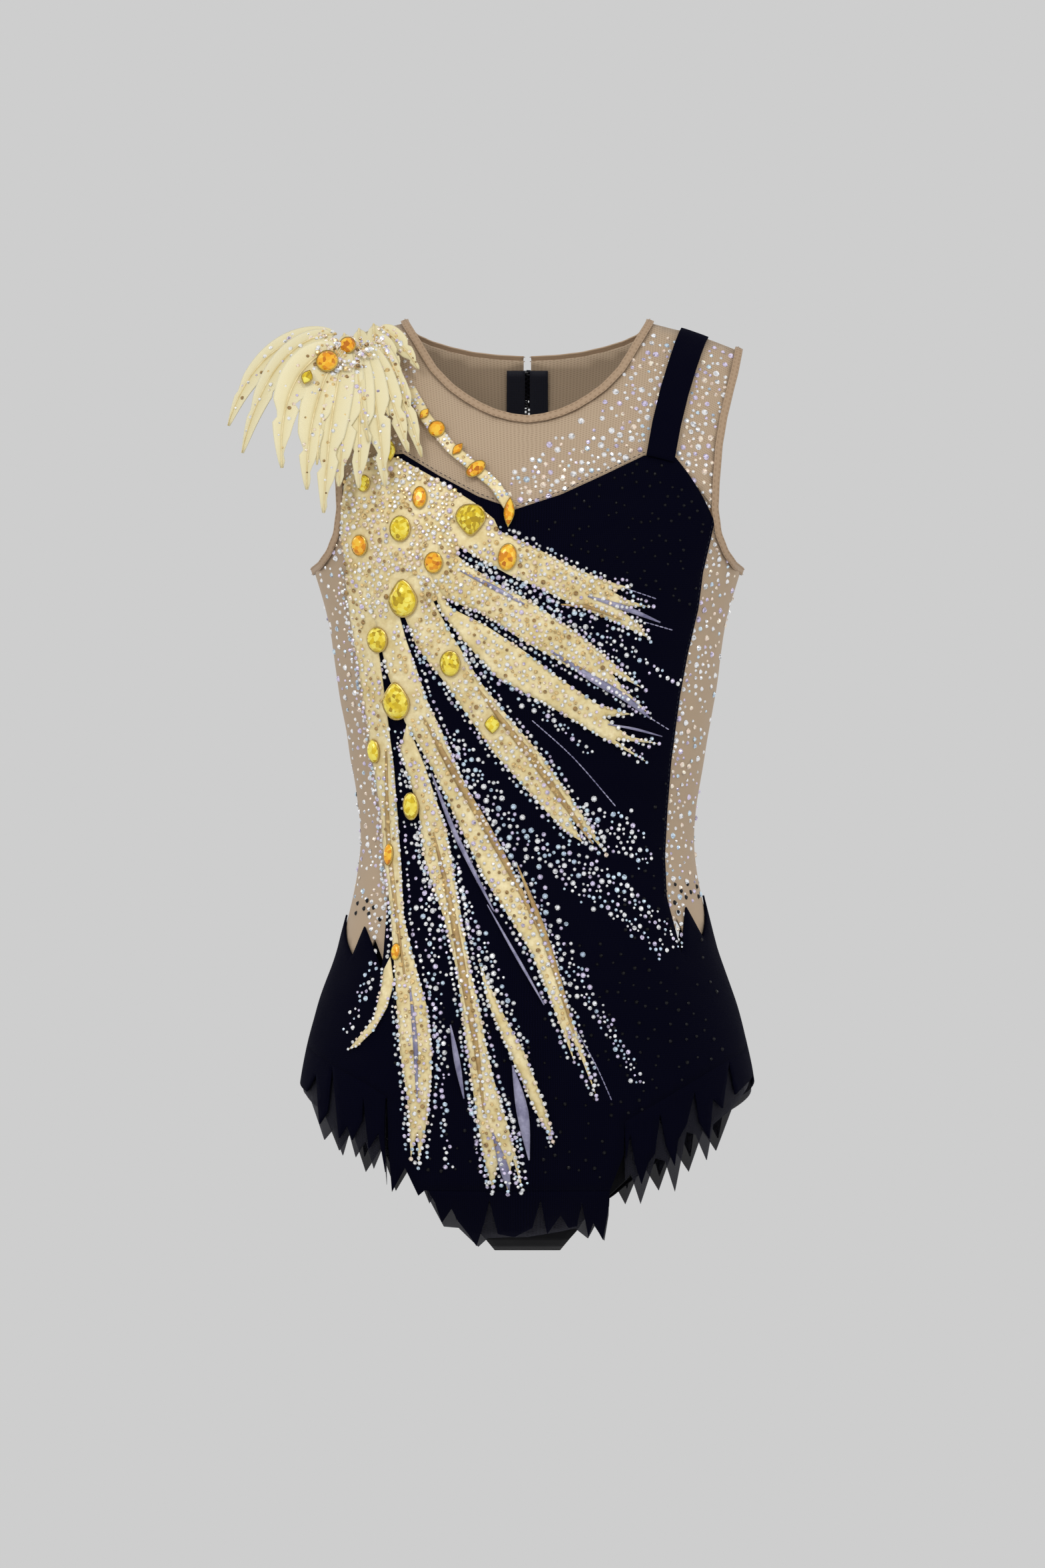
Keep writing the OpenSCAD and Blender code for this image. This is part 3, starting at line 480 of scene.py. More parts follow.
KINDS = {
    # Stones get a shaded, a mid and a lit colour: painted shade, base tone and painted glints for their facets.
    "amber": stone("amber stone", (176, 88, 0), (246, 164, 8), (255, 214, 70)),
    "citrine": stone("citrine stone", (158, 124, 0), (234, 202, 22), (255, 244, 110)),
    "clear": crystal("clear crystal", (240, 242, 246)),
    "lilac": crystal("lilac crystal", (214, 204, 238)),
    "peach": crystal("peach crystal", (246, 222, 204)),
    "aqua": crystal("aqua crystal", (200, 220, 244)),
    "topaz": crystal("topaz crystal", (222, 192, 132)),
    "smoke": crystal("smoky crystal", (158, 126, 78)),
    "jet": crystal("jet crystal", (6, 6, 12), 0.0, 0.35, 0.0, 0.2),
}


# ---- Putting pieces on the frame ----

CLOTH = 1.2
NUDE_FACE, UNDERSKIRT_FACE, BRIEF_FACE = -0.5, -1.3, -4.4


def belongs(piece, body, slot, *nodes):
    """The piece rides on a body and stands for CAD nodes, which are hidden. The slot is not used."""
    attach(piece, body)
    if nodes:
        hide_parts(*nodes)
    return piece


def on_garment(piece, slot, *nodes):
    return belongs(piece, "garment", slot, *nodes)


def cut_size(piece):
    """Width and length of the box round the piece's pattern, turned to fit, and its area, in metres.
    A bowed strip counts as straight: twice its mean width."""
    data = piece.data.attributes["weave"].data
    flat = np.empty(len(data) * 3, np.float32)
    data.foreach_get("vector", flat)
    flat = flat.reshape(-1, 3)[:, :2].astype(float) * MM
    area = sum(face.area for face in piece.data.polygons)
    flat -= flat.mean(0)
    size = np.ptp(flat @ np.linalg.svd(flat, full_matrices=False)[2].T, axis=0)
    width, length = np.sort(size * max(1.0, math.sqrt(area / (0.98 * size[0] * size[1]))))
    if area < 0.45 * length * width:
        width = area / (0.5 * length)
    return (max(float(width), 0.0101), float(length)), area


def cloth_piece(piece):
    size, area = cut_size(piece)
    return piece


# ---- The garment's panels ----

# The bodice's side edge from its top corner down to the teeth, on the wearer's left
BODICE_EDGE = [(113, 198), (106, 168), (103, 145), (97, 120), (92, 93), (87, 55), (84.5, 24), (83, -5), (84, -29)]
TEETH = {"left": [(93, -64), (96, -36), (106.5, -55), (SIDE, -30)],
         "right": [(88, -74), (98.5, -48), (106, -66), (SIDE, -42)]}
SWEETHEART = [(-88.6, 238), (-75, 239), (-54, 226), (-30, 213), (-7.5, 205), (20, 214), (45, 225.5), (70.5, 238),
              (88.6, 238)]
# The foot of the front, from each side seam to the middle flap; the right one has two teeth of its own
FOOT_LEFT = [(SIDE, -118), (128, -126), (112, -134), (98, -142), (84, -150), (58.5, -164.5), (58, -185),
             (50, -206.5)]
FOOT_RIGHT = [(SIDE, -118), (128, -126), (114, -134), (98, -142), (84.5, -150), (84, -180), (82, -208), (74, -193),
              (66, -210), (62, -206.5)]
BACK_FOOT = [(SIDE, -118), (131, -124), (122, -130), (92, -142), (50, -154), (14, -163), (0.3, -163)]
BACK_TOP = [(113, 198), (60, 168), (3, 143)]
NECK = [(75, 321.8), (74.2, 319.5), (71.5, 315), (67, 307.5), (62, 299), (57, 291), (51.5, 285), (46, 279.5),
        (38, 273.5), (29, 268), (20, 264), (10, 261.2), (0, 260)]
NECK_BACK = [(75, 321.8), (73.5, 317.5), (69, 313), (60, 309), (48, 305.5), (34, 302.5), (19, 300.8), (2.4, 300)]
ARMHOLE = [(129.5, 304.7), (129, 302.5), (126, 289), (123.5, 280), (119, 262), (116, 245), (114, 222),
           (113.4, 206)]
UNDERARM = [(115.5, 191), (120, 180), (125.5, 172.5)]
# The legs of the brief below its side seam, and the gusset's line from front to back as y, z and half width
LEGS = {"front": [(127, -134), (112, -150), (92, -170), (70, -192), (48, -214), (27, -238)],
        "back": [(130, -136), (118, -156), (101, -178), (80, -200), (54, -220), (27, -238)]}
GUSSET = [(-49, -227.8, 33), (-44.5, -232.8, 30), (-38.5, -238.2, 25.5), (-29.5, -243, 22), (-16, -246.4, 20),
          (2, -247.5, 19), (20, -246.6, 20), (34, -243, 23), (43.4, -236.6, 27), (47.8, -232, 30),
          (51.6, -227.6, 34)]
UNDER_LAP, VELVET_GRID, BACK_GRID, BRIEF_GRID = 4.0, 5.0, 6.0, 7.0


def velvet(name, node, spacing, *edges):
    piece = panel(name, outline(*edges), CLOTH, CLOTH, NAVY, spacing)
    cloth_piece(on_garment(piece, "navy_velvet", node))


def net(name, node, spacing, *edges):
    piece = panel(name, outline(*edges), NUDE_FACE, CLOTH, NUDE_MESH, spacing, wave=0.4)
    cloth_piece(on_garment(piece, "nude_mesh", node))


def lapped(points):
    return [(x, z - UNDER_LAP) for x, z in points]


def front_panels():
    velvet("front_bodice_velvet", "front_bodice", VELVET_GRID, edge(SWEETHEART), edge(BODICE_EDGE),
           edge(TEETH["left"]), edge(FOOT_LEFT), edge(FOOT_RIGHT, -1)[::-1], edge(TEETH["right"], -1)[::-1],
           edge(BODICE_EDGE, -1)[::-1])
    under = [(-90, 233)] + lapped(SWEETHEART)[1:-1] + [(90, 233)]
    net("front_yoke_net", "front_yoke_mesh", VELVET_GRID, edge([(-x, z) for x, z in NECK]), edge(NECK)[::-1],
        edge(ARMHOLE), edge(under)[::-1], edge(ARMHOLE, -1)[::-1])


def back_panels(way, side):
    centre = [(0.3, -163), (0.3, 55), (3, 58), (3, 143)]
    velvet(f"back_bodice_velvet_{side}", f"back_bodice_{side}", BACK_GRID, edge(BACK_TOP, way, True),
           *(edge(line, way, True)[::-1] for line in (centre, BACK_FOOT, TEETH[side], BODICE_EDGE)))
    net(f"back_yoke_net_{side}", f"back_yoke_{side}", BACK_GRID, edge(NECK_BACK, way, True)[::-1],
        edge(ARMHOLE, way, True), edge(lapped(BACK_TOP), way, True),
        edge([(2.4, 300), (2.4, 139)], way, True)[::-1])


def side_net(way, side):
    """The net under the arm runs under the velvet's edges and its teeth."""
    under = [(x - 5 if x < SIDE else x, z - 6) for x, z in TEETH[side]]
    fore = [(112.5, 200)] + [(x - 4, z) for x, z in BODICE_EDGE[1:]]
    top = UNDERARM + [(SIDE, 169)]
    net(f"side_net_{side}", f"side_mesh_{side}", BACK_GRID, edge(fore, way), edge(under, way),
        edge(under, way, True)[::-1], edge(fore, way, True)[::-1], edge(top, way, True), edge(top, way)[::-1])


def brief():
    for name, leg in LEGS.items():
        points = [(SIDE, -96), (SIDE, -120)] + leg
        behind = name == "back"
        left, right = edge(points, 1, behind), edge(points, -1, behind)
        right = right + [360 * GIRTH if behind else 0, 0]
        piece = panel(f"brief_knit_{name}", outline(left, right[::-1]), BRIEF_FACE, CLOTH, BLACK, BRIEF_GRID)
        cloth_piece(on_garment(piece, "black_lycra", f"brief_{name}"))


def gusset(name, material, slot, inset, trim):
    """The gusset or its lining: inset is how far within the outer layer it lies, trim how much smaller it is."""
    at = np.linspace(0, len(GUSSET) - 1, 41)
    y, z, half = (np.interp(at, range(len(GUSSET)), column) for column in np.array(GUSSET, float).T)
    way = unit(np.stack([np.gradient(y), np.gradient(z)], -1))
    y, z = y - way[:, 1] * inset, z + way[:, 0] * inset
    rows = [[(h * k / 6, b, c) for k in range(-6, 7)] for b, c, h in zip(y, z, half - trim)]
    cloth_piece(on_garment(lattice(f"{name}_knit", rows[trim:len(y) - trim], material, 1.0), slot, name))


front_panels()
for WAY, SIDE_NAME in SIDES:
    back_panels(WAY, SIDE_NAME)
    side_net(WAY, SIDE_NAME)
brief()
gusset("gusset", BLACK, "black_lycra", 0, 0)
gusset("gusset_lining", COTTON, "cotton_lining", 2.4, 3)


# ---- Strap, bindings and stitches ----

STRAP_FRONT = [(80, 236), (84, 257), (89, 277), (94, 293), (98, 304.5), (100.5, 310.5), (102, 313.2)]
STRAP_BACK = [(101, 310), (99, 303), (96, 291), (92, 272), (87, 246), (81, 218), (76, 196), (72, 178)]
FOLD_FRONT = [(25, -236), (46, -215), (68, -193), (90, -171), (110, -151), (125, -135)]
FOLD_BACK = [(25, -236), (52, -221), (78, -201), (99, -179), (116, -157), (128, -137)]


def run_of(*edges):
    """A smooth run of [girth, z] through edges, each smoothed by itself."""
    return np.concatenate([smooth_line(e, 3) for e in edges])


def round_hole(fore, aft, way, side_z):
    """The run of an arm or leg opening, along fore in front, over the side seam and along aft behind."""
    return run_of(edge(fore, way, False, 8), np.array([[way * 90 * GIRTH, side_z]]),
                  edge(aft, way, True, 8)[::-1])


def spots_on(line, off):
    """Points and outward directions along [girth, z]."""
    u, z = line[:, 0] / GIRTH, line[:, 1]
    return lift(u, z, off), outward(u, z)


def even(points, ups, step):
    """The same run with points every step."""
    keep = np.concatenate([[True], np.linalg.norm(np.diff(points, axis=0), axis=1) > 0.05])
    points, ups = points[keep], ups[keep]
    far = np.concatenate([[0], np.cumsum(np.linalg.norm(np.diff(points, axis=0), axis=1))])
    at = np.linspace(0, far[-1], max(2, int(far[-1] / step) + 1))
    points, ups = (np.stack([np.interp(at, far, v[:, k]) for k in range(3)], -1) for v in (points, ups))
    return points, unit(ups)


def band(name, line, width, off, thick, material, crown=0.5):
    """A strip of folded cloth along [girth, z], a little fuller along its middle."""
    points, ups = even(*spots_on(line, off), 3.0)
    across = unit(np.cross(np.gradient(points, axis=0), ups))
    shares = np.linspace(-1, 1, 9)
    rows = [p + np.outer(shares, a) * width / 2 + np.outer(crown * (1 - shares ** 4), u)
            for p, a, u in zip(points, across, ups)]
    return lattice(name, rows, material, thick)


def stitches(name, lines, off, material, length=2.2, gap=1.3, wide=0.5):
    """Short threads laid end to end along [girth, z] lines."""
    points, faces = [], []
    for line in lines:
        mids, ups = even(*spots_on(line, off), length + gap)
        ways = unit(np.gradient(mids, axis=0))
        for p, up, way in zip(mids, ups, ways):
            across = np.cross(way, up)
            base = len(points)
            for s, w, h in ((-0.5, 0.4, 0), (-0.3, 1, 0.35), (0.3, 1, 0.35), (0.5, 0.4, 0)):
                for side in (-1, 1):
                    points.append(p + way * s * length + across * side * w * wide / 2 + up * h)
            faces += [(base + k, base + k + 2, base + k + 3, base + k + 1) for k in (0, 2, 4)]
    return make_mesh(name, points, faces, material)


def moved(line, shift):
    """A [girth, z] line moved sideways over the torso by shift millimetres."""
    points, ups = spots_on(line, 0.0)
    across = unit(np.cross(np.gradient(points, axis=0), ups)) * shift
    u, z = line[:, 0] / GIRTH, line[:, 1]
    per_u = skin(u + 0.3, z) - skin(u - 0.3, z)
    step = (across * per_u).sum(-1) / np.maximum((per_u ** 2).sum(-1), 1e-9) * 0.6
    return np.stack([(u + step) * GIRTH, z + across[:, 2]], -1)


def strap():
    piece = band("shoulder_strap_velvet", run_of(edge(STRAP_FRONT), edge(STRAP_BACK, 1, True)), 17.5, 1.9, 1.2,
                 NAVY, 0.2)
    cloth_piece(on_garment(piece, "navy_velvet", "shoulder_strap"))


def bindings():
    half = [edge(NECK_BACK, way, True, 8)[::-way] for way in (1, -1)]
    front = np.concatenate([edge(NECK, 1, False, 8), edge(NECK, -1, False, 8)[::-1][1:]])
    hole = ARMHOLE + UNDERARM
    lines = [("neck_fold", "neck_binding", run_of(half[0], front, half[1]))]
    lines += [(f"armhole_fold_{side}", f"armhole_binding_{side}", round_hole(hole, hole, way, 169))
              for way, side in SIDES]
    for name, node, line in lines:
        on_garment(band(name, line, 4.6, 0.9, 0.9, NUDE_TRIM, 0.2), "nude_binding", node)
    seams = [moved(line, shift) for *_, line in lines for shift in (-1.5, 1.5)]
    on_garment(stitches("binding_stitches", seams, 1.45, THREAD), "nude_binding")


def leg_folds():
    for way, side in SIDES:
        piece = band(f"leg_fold_{side}", round_hole(FOLD_FRONT, FOLD_BACK, way, -121.5), 4.5, -5.6, 0.8, BLACK)
        on_garment(piece, "black_lycra", *(["leg_bindings"] if way > 0 else []))


def seam_stitches():
    """Rows of thread beside the seams that join the velvet to the net."""
    lines = [moved(edge(SWEETHEART), -1.8)]
    for way in (1, -1):
        lines += [moved(edge(BODICE_EDGE, way), way * 1.8), moved(edge(BODICE_EDGE, way, True), -way * 1.8),
                  edge(BACK_TOP, way, True) - [0, 1.8]]
    on_garment(stitches("velvet_seam_stitches", lines, CLOTH + 0.1, NAVY_THREAD, 1.8, 1.4, 0.45), "navy_velvet")


strap()
bindings()
leg_folds()
seam_stitches()


# ---- Skirt flaps ----

# Hems from the side seam inwards: the velvet's, with its long cuts, and the net's below it
HEMS = {
    "front_right": (
        [(SIDE, -144), (134, -149), (128, -138), (126, -168), (121, -160), (118, -132), (114, -176), (109, -168),
         (106, -177), (100, -165), (99, -150), (96, -182), (90, -172), (86, -196)],
        [(SIDE, -147), (134, -153), (125, -178), (119, -171), (113, -187), (109, -173), (105, -188), (99, -178),
         (94, -195), (88, -180), (86, -205)]),
    "front_left": (
        [(SIDE, -138), (133, -144), (126, -150), (122, -130), (118, -158), (112, -152), (110, -176), (104, -166),
         (101, -147), (96, -167), (91, -176), (89, -192), (84, -180), (80, -160), (77, -184), (73, -190),
         (69, -203), (65, -190), (62, -172), (59.5, -188)],
        [(SIDE, -140), (133, -150), (124, -160), (114, -168), (110, -190), (103, -174), (97, -172), (90, -209),
         (84, -190), (78, -188), (69, -217), (63, -198), (59.5, -202)]),
    "back_side": (
        [(SIDE, -144), (130, -156), (124, -148), (118, -182), (111, -168), (107, -150), (101, -194), (94, -178),
         (82, -206), (76, -186), (73, -168), (62, -214), (57, -200), (53, -198)],
        [(SIDE, -148), (128, -164), (118, -190), (110, -178), (101, -204), (92, -190), (82, -216), (72, -200),
         (61, -224), (53, -210)]),
}
CENTRE_HEM = ([(-60.5, -206), (-56, -214), (-52, -227), (-46, -218), (-42, -226), (-36, -234), (-31, -242),
              (-26, -226), (-23, -212), (-18, -234), (-8, -236), (3, -230), (8, -212), (12, -234), (20, -222),
              (25, -230), (30, -229), (33, -214), (37, -236), (40, -227), (46, -238), (49.5, -216)],
              [(-60.5, -212), (-51, -231), (-42, -232), (-30, -245), (-24, -239), (0, -238), (20, -234),
              (29, -232), (37, -239), (41, -231), (47, -241), (49.5, -224)])
BACK_CENTRE_HEM = ([(-51.8, -198), (-44, -226), (-38, -206), (-34, -186), (-25, -231), (-18, -210), (-8, -230),
                    (0, -190), (8, -230), (18, -210), (25, -231), (34, -186), (38, -206), (44, -226),
                    (51.8, -198)],
                   [(-51.8, -208), (-44, -234), (-35, -218), (-25, -236), (-16, -219), (-8, -235), (0, -221),
                    (8, -235), (16, -219), (25, -236), (35, -218), (44, -234), (51.8, -208)])


def hem_ring(top, hem, way=1, behind=False):
    return outline(edge(top, way, behind, 4.0), edge(hem, way, behind, 4.0)[::-1], step=2.5)


def sag(flat):
    return 0.35 * np.sin(flat[:, 0] / 9.0)


def flap(node, ring, layer):
    velvet = layer == "skirt"
    if velvet:
        piece = panel(f"skirt_velvet_{node}", ring, CLOTH, CLOTH, NAVY, 4.0, wave=0.2)
    else:
        piece = panel(f"underskirt_net_{node}", ring, UNDERSKIRT_FACE, 0.7, BLACK_MESH, 4.0, sag, 0.1)
    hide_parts(f"{layer}_{node}")
    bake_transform(piece)
    cloth_piece(piece)


def skirt():
    for k, layer in enumerate(("skirt", "underskirt")):
        flap("front_right", hem_ring(FOOT_RIGHT[:5] + [(85.6, -151)], HEMS["front_right"][k], -1), layer)
        flap("front_left", hem_ring(FOOT_LEFT[:6], HEMS["front_left"][k]), layer)
        flap("front_centre", hem_ring([(x, -206.8) for x in (-61.5, -20, 20, 49.8)], CENTRE_HEM[k]), layer)
        for way, side in SIDES:
            flap(f"back_{side}", hem_ring(BACK_FOOT[:5] + [(53, -153)], HEMS["back_side"][k], way, True), layer)
        middle = [(51.8, -153.4), (14, -163), (0, -163)]
        top = np.concatenate([edge(middle, 1, True, 4.0),
                              edge(middle[:2], -1, True, 4.0)[::-1] + [360 * GIRTH, 0]])
        low = np.array([[(180 - float(angle_at(x, z))) * GIRTH, z] for x, z in resample(BACK_CENTRE_HEM[k], 3.0)])
        flap("back_centre", outline(top, low, step=2.5), layer)


skirt()


# ---- Ray appliques ----

RAY_FACE = CLOTH + 1.3
# Each ray's outline in [x, z]: its upper or right edge out to the tips, then back along the other edge
RAY_EDGES = {
    "ray_1": [(-44, 203), (-22, 194), (-5.6, 187), (14, 177), (30, 169), (46, 162.5), (62, 158), (50, 156.5),
              (58, 151.5), (72, 147), (54, 146.5), (66, 137), (72, 128), (52, 137.5), (37, 144), (24, 149.5),
              (4, 159), (-12, 166), (-37, 180), (-52, 188)],
    "ray_2": [(-52, 186), (-36, 172), (-19, 161), (4, 148.5), (31, 130), (50, 114), (68, 98), (50, 107), (58, 97),
              (73, 82), (46, 99), (22, 112), (-4, 127), (-26, 142), (-50, 152), (-58, 166)],
    "ray_3": [(-60, 168), (-46, 146), (-26, 136), (-2, 120), (20, 103), (42, 88), (62, 82), (46, 80), (60, 69),
              (78, 64), (52, 66.5), (71, 53), (44, 68), (18, 84), (-4, 96), (-18, 104), (-30, 117), (-40, 128),
              (-52, 144)],
    "ray_4": [(-66, 168), (-50, 138), (-45, 129), (-28, 101), (-12, 81), (10, 55), (30, 25.5), (39, 11), (47, -3),
              (36, 10), (26, 18), (33, 4), (22, 11), (4, 31), (-19, 57), (-38, 84), (-51, 103), (-66, 122),
              (-80, 158)],
    "ray_5": [(-82, 162), (-73, 128), (-66, 108), (-60, 90), (-47, 62), (-35, 34), (-21, 8), (-4, -22),
              (9, -52), (17, -76), (26, -100), (34, -124), (41, -148), (33, -128), (24, -108), (28, -128),
              (14, -92), (2, -62), (-12, -40), (-26, -18), (-42, 17), (-57, 49), (-73, 77), (-83, 105),
              (-94, 150)],
    "ray_6": [(-72, 76), (-62, 52), (-48.5, 12), (-42, -27), (-34, -74), (-29, -94), (-26, -112), (-21, -136),
              (-13, -162), (-6, -188), (-3, -205), (-9, -186), (-12, -206), (-17, -184), (-21, -205.5),
              (-27, -183), (-32, -150), (-38, -108), (-42, -75), (-50, -42), (-61, -9), (-65, 24), (-76, 60)],
    "ray_7": [(-29, -68), (-20, -88), (-12, -104), (-2, -122), (6, -143), (12, -160), (16, -178), (5, -158),
              (-4, -138), (-14, -116), (-24, -92)],
    "ray_8": [(-92, 166), (-90, 128), (-85, 90), (-80, 50), (-78, 24), (-75.5, -12), (-74, -42), (-67, -71),
              (-60, -96), (-57.5, -118), (-57.5, -137), (-60, -162), (-65.5, -191), (-66, -170), (-70, -186),
              (-72, -150), (-76.5, -121), (-79, -80), (-81.5, -42), (-86, 0), (-88, 24), (-95, 72), (-101, 110),
              (-106, 140), (-109, 166)],
}
ROOT_EDGE = [(-112, 205), (-110, 222), (-101, 235), (-88, 238), (-77, 236), (-55, 223.5), (-32, 209), (-20, 199),
             (-16, 190), (-26, 188), (-35, 184), (-43, 189), (-41, 178), (-47, 164), (-56, 150), (-66, 140),
             (-80, 146), (-94, 142), (-108, 152), (-108.5, 170), (-112, 190)]
LEAF_EDGE = [(-82, -66), (-80, -82), (-84, -96), (-92, -110), (-102, -120), (-107, -122), (-99, -112),
             (-92, -103), (-88, -88), (-86, -74)]
# Streaks sewn over the rays: centre line as [x, z, half width]
BRONZE_STREAKS = [
    [(-30, 98, 0.4), (-12, 74, 1.8), (8, 48, 2.2), (26, 22, 1.4), (39, 3, 0.4)],
    [(-62, 80, 0.4), (-46, 50, 2), (-24, 12, 2.4), (-6, -22, 1.6), (8, -52, 0.4)],
    [(-6, -10, 0.4), (8, -46, 1.8), (20, -84, 1.5), (28, -112, 0.4)],
    [(-56, 10, 0.4), (-46, -34, 1.8), (-38, -78, 2.2), (-30, -124, 1.5), (-26, -160, 0.4)],
    [(20, 148, 0.4), (38, 146, 1.2), (56, 139, 0.4)],
    [(-84, 60, 0.4), (-83, 10, 1.2), (-78, -40, 1), (-73, -80, 0.4)],
]
SILVER_STREAKS = [
    [(36, 153, 0.4), (58, 146, 1.7), (79, 137.5, 0.4)],
    [(14, 120, 0.4), (38, 104, 2.2), (58, 92, 2), (73, 79.5, 0.4)],
    [(48, 76, 0.3), (64, 73, 0.8), (80, 68.5, 0.3)],
    [(-57, 46, 0.4), (-45, 14, 1.3), (-32, -14, 1.2), (-20, -38, 0.4)],
    [(-24, -34, 0.3), (-6, -66, 0.9), (10, -94, 0.4)],
    [(-9, -130, 0.4), (-3, -158, 3.6), (1, -187, 0.4)],
    [(-21, -170, 0.4), (-14, -192, 2.8), (-11, -205, 0.4)],
    [(-46, -106, 0.4), (-42, -128, 1.8), (-38, -150, 0.4)],
    [(-70, -84, 0.4), (-67, -116, 1.4), (-66, -150, 0.4)],
    [(-40, 168, 0.3), (-20, 158, 1.4), (0, 147, 0.4)],
]
# Loose threads of silver beyond the tips of the rays
THREADS = [[(72, 137), (86, 133)], [(73, 80), (84, 73)], [(4, 77), (28, 55), (52, 27)],
           [(26, -104), (40, -128), (50, -150)], [(58, 158), (76, 152)]]


def patch(name, points, off, slot, node):
    piece = panel(name, outline(edge(points, step=3.0), step=2.2), off, 0.8, GOLD, 3.2, wave=0.15)
    cloth_piece(on_garment(piece, slot, node))


def streak_ring(line):
    p = smooth_line(line, 5)
    way = unit(np.gradient(p[:, :2], axis=0))
    side = np.stack([way[:, 1], -way[:, 0]], -1) * p[:, 2:3]
    return [tuple(q) for q in np.concatenate([p[:, :2] + side, (p[:, :2] - side)[::-1]])]


def streaks(name, lines, material, slot, off, *nodes):
    """Several narrow patches as one piece."""
    points, faces, weave = [], [], []
    for line in lines:
        flat, tris = triangulate(outline(edge(streak_ring(line), step=3.0), step=1.8), 4.0)
        faces += [tuple(len(points) + i for i in face) for face in tris]
        points += lift(flat[:, 0] / GIRTH, flat[:, 1], off).tolist()
        weave += flat.tolist()
    piece = make_mesh(name, points, faces, material, weave=np.array(weave))
    on_garment(thicken(piece, 0.3), slot, *nodes)


def rays():
    patch("ray_root_satin", ROOT_EDGE, RAY_FACE - 0.15, "gold_applique", "ray_root")
    for k, (node, points) in enumerate(RAY_EDGES.items()):
        patch(f"{node}_satin", points, RAY_FACE + 0.12 * (k % 3), "gold_applique", node)
    patch("hip_leaf_satin", LEAF_EDGE, RAY_FACE, "cream_feather", "hip_leaf")
    streaks("bronze_streaks", BRONZE_STREAKS, BRONZE, "gold_applique", RAY_FACE + 0.75)
    streaks("silver_streaks", SILVER_STREAKS, SILVER, "silver_applique", RAY_FACE + 0.8, "silver_slivers")
    lines = [edge([tuple(p) for p in smooth_line(t, 4)], step=2.0) for t in THREADS]
    on_garment(stitches("silver_threads", lines, CLOTH + 0.1, SILVER, 3.0, 0.1, 0.7), "silver_applique")
    trim = run_of(edge([(-71, 278), (-61, 260), (-46, 242), (-30, 228.5), (-20, 220), (-10, 205)], step=8.0))
    on_garment(band("neckline_trim_satin", trim, 6.5, 2.1, 0.8, GOLD, 0.6), "gold_applique", "neckline_trim")


rays()


# ---- Crystals ----

class Crystals:
    """Small stones gathered by where they are, none of them touching, and made as one piece."""

    CELL, REACH = 3.0, range(-3, 4)

    def __init__(self, seed):
        self.draw = np.random.default_rng(seed)
        self.taken = {}
        self.stones = []

    def cell_of(self, spot):
        return tuple(np.floor(spot / self.CELL).astype(int))

    def block(self, spot, radius):
        spot = np.asarray(spot, float)
        self.taken.setdefault(self.cell_of(spot), []).append((spot, radius))

    def clear(self, spot, radius, gap):
        row, column = self.cell_of(spot)
        return not any(np.hypot(*(spot - other)) < radius + r + gap for i in self.REACH for j in self.REACH
                       for other, r in self.taken.get((row + i, column + j), ()))

    def add(self, x, z, radius, kind, off, gap=0.3):
        spot = np.array([x, z])
        if self.clear(spot, radius, gap):
            self.block(spot, radius)
            self.stones.append((x, z, radius, kind, off))

    def fill(self, ring, tries, sizes, kinds, off, gap=0.5, chance=None):
        """Throws stones at an [x, z] outline; chance gives how likely one stays at each spot."""
        ring = np.asarray(ring, float)
        spots = self.draw.uniform(ring.min(0), ring.max(0), (tries, 2))
        spots = spots[inside(spots, ring)]
        if chance is not None:
            spots = spots[self.draw.random(len(spots)) < chance(spots)]
        for x, z in spots:
            self.add(x, z, self.draw.choice(sizes), self.pick(kinds), off, gap)

    def follow(self, line, step, sizes, kinds, off, jitter=0.3, gap=0.25):
        line = resample(line, step)
        for x, z in line + self.draw.normal(0, jitter, line.shape):
            self.add(x, z, self.draw.choice(sizes), self.pick(kinds), off, gap)

    def trail(self, line, wide, per_mm, sizes, kinds, off):
        """A stream of stones that spreads over wide mm about a line and thins towards its end."""
        path = resample(smooth_line(line, 6), 1.0)
        way = unit(np.gradient(path, axis=0))
        for _ in range(int(len(path) * per_mm)):
            t = self.draw.random() ** 1.25
            i = min(int(t * len(path)), len(path) - 1)
            spread = wide * (0.45 + 0.55 * math.sin(math.pi * min(t * 1.2, 1)))
            shift = self.draw.normal(0, 0.33) * spread
            x, z = path[i] + np.array([-way[i][1], way[i][0]]) * shift
            size = self.draw.choice(sizes) * (1 - 0.25 * t)
            self.add(x, z, size, self.pick(kinds), off, 0.25)

    def pick(self, kinds):
        names, shares = zip(*kinds)
        return names[int(np.searchsorted(np.cumsum(shares) / sum(shares), self.draw.random()))]

    def build(self, name):
        x, z, radius, kind, off = (np.array(v) for v in zip(*self.stones))
        u = angle_at(x, z)
        crystal_piece(name, lift(u, z, off), outward(u, z), radius, kind, self.draw, "garment")


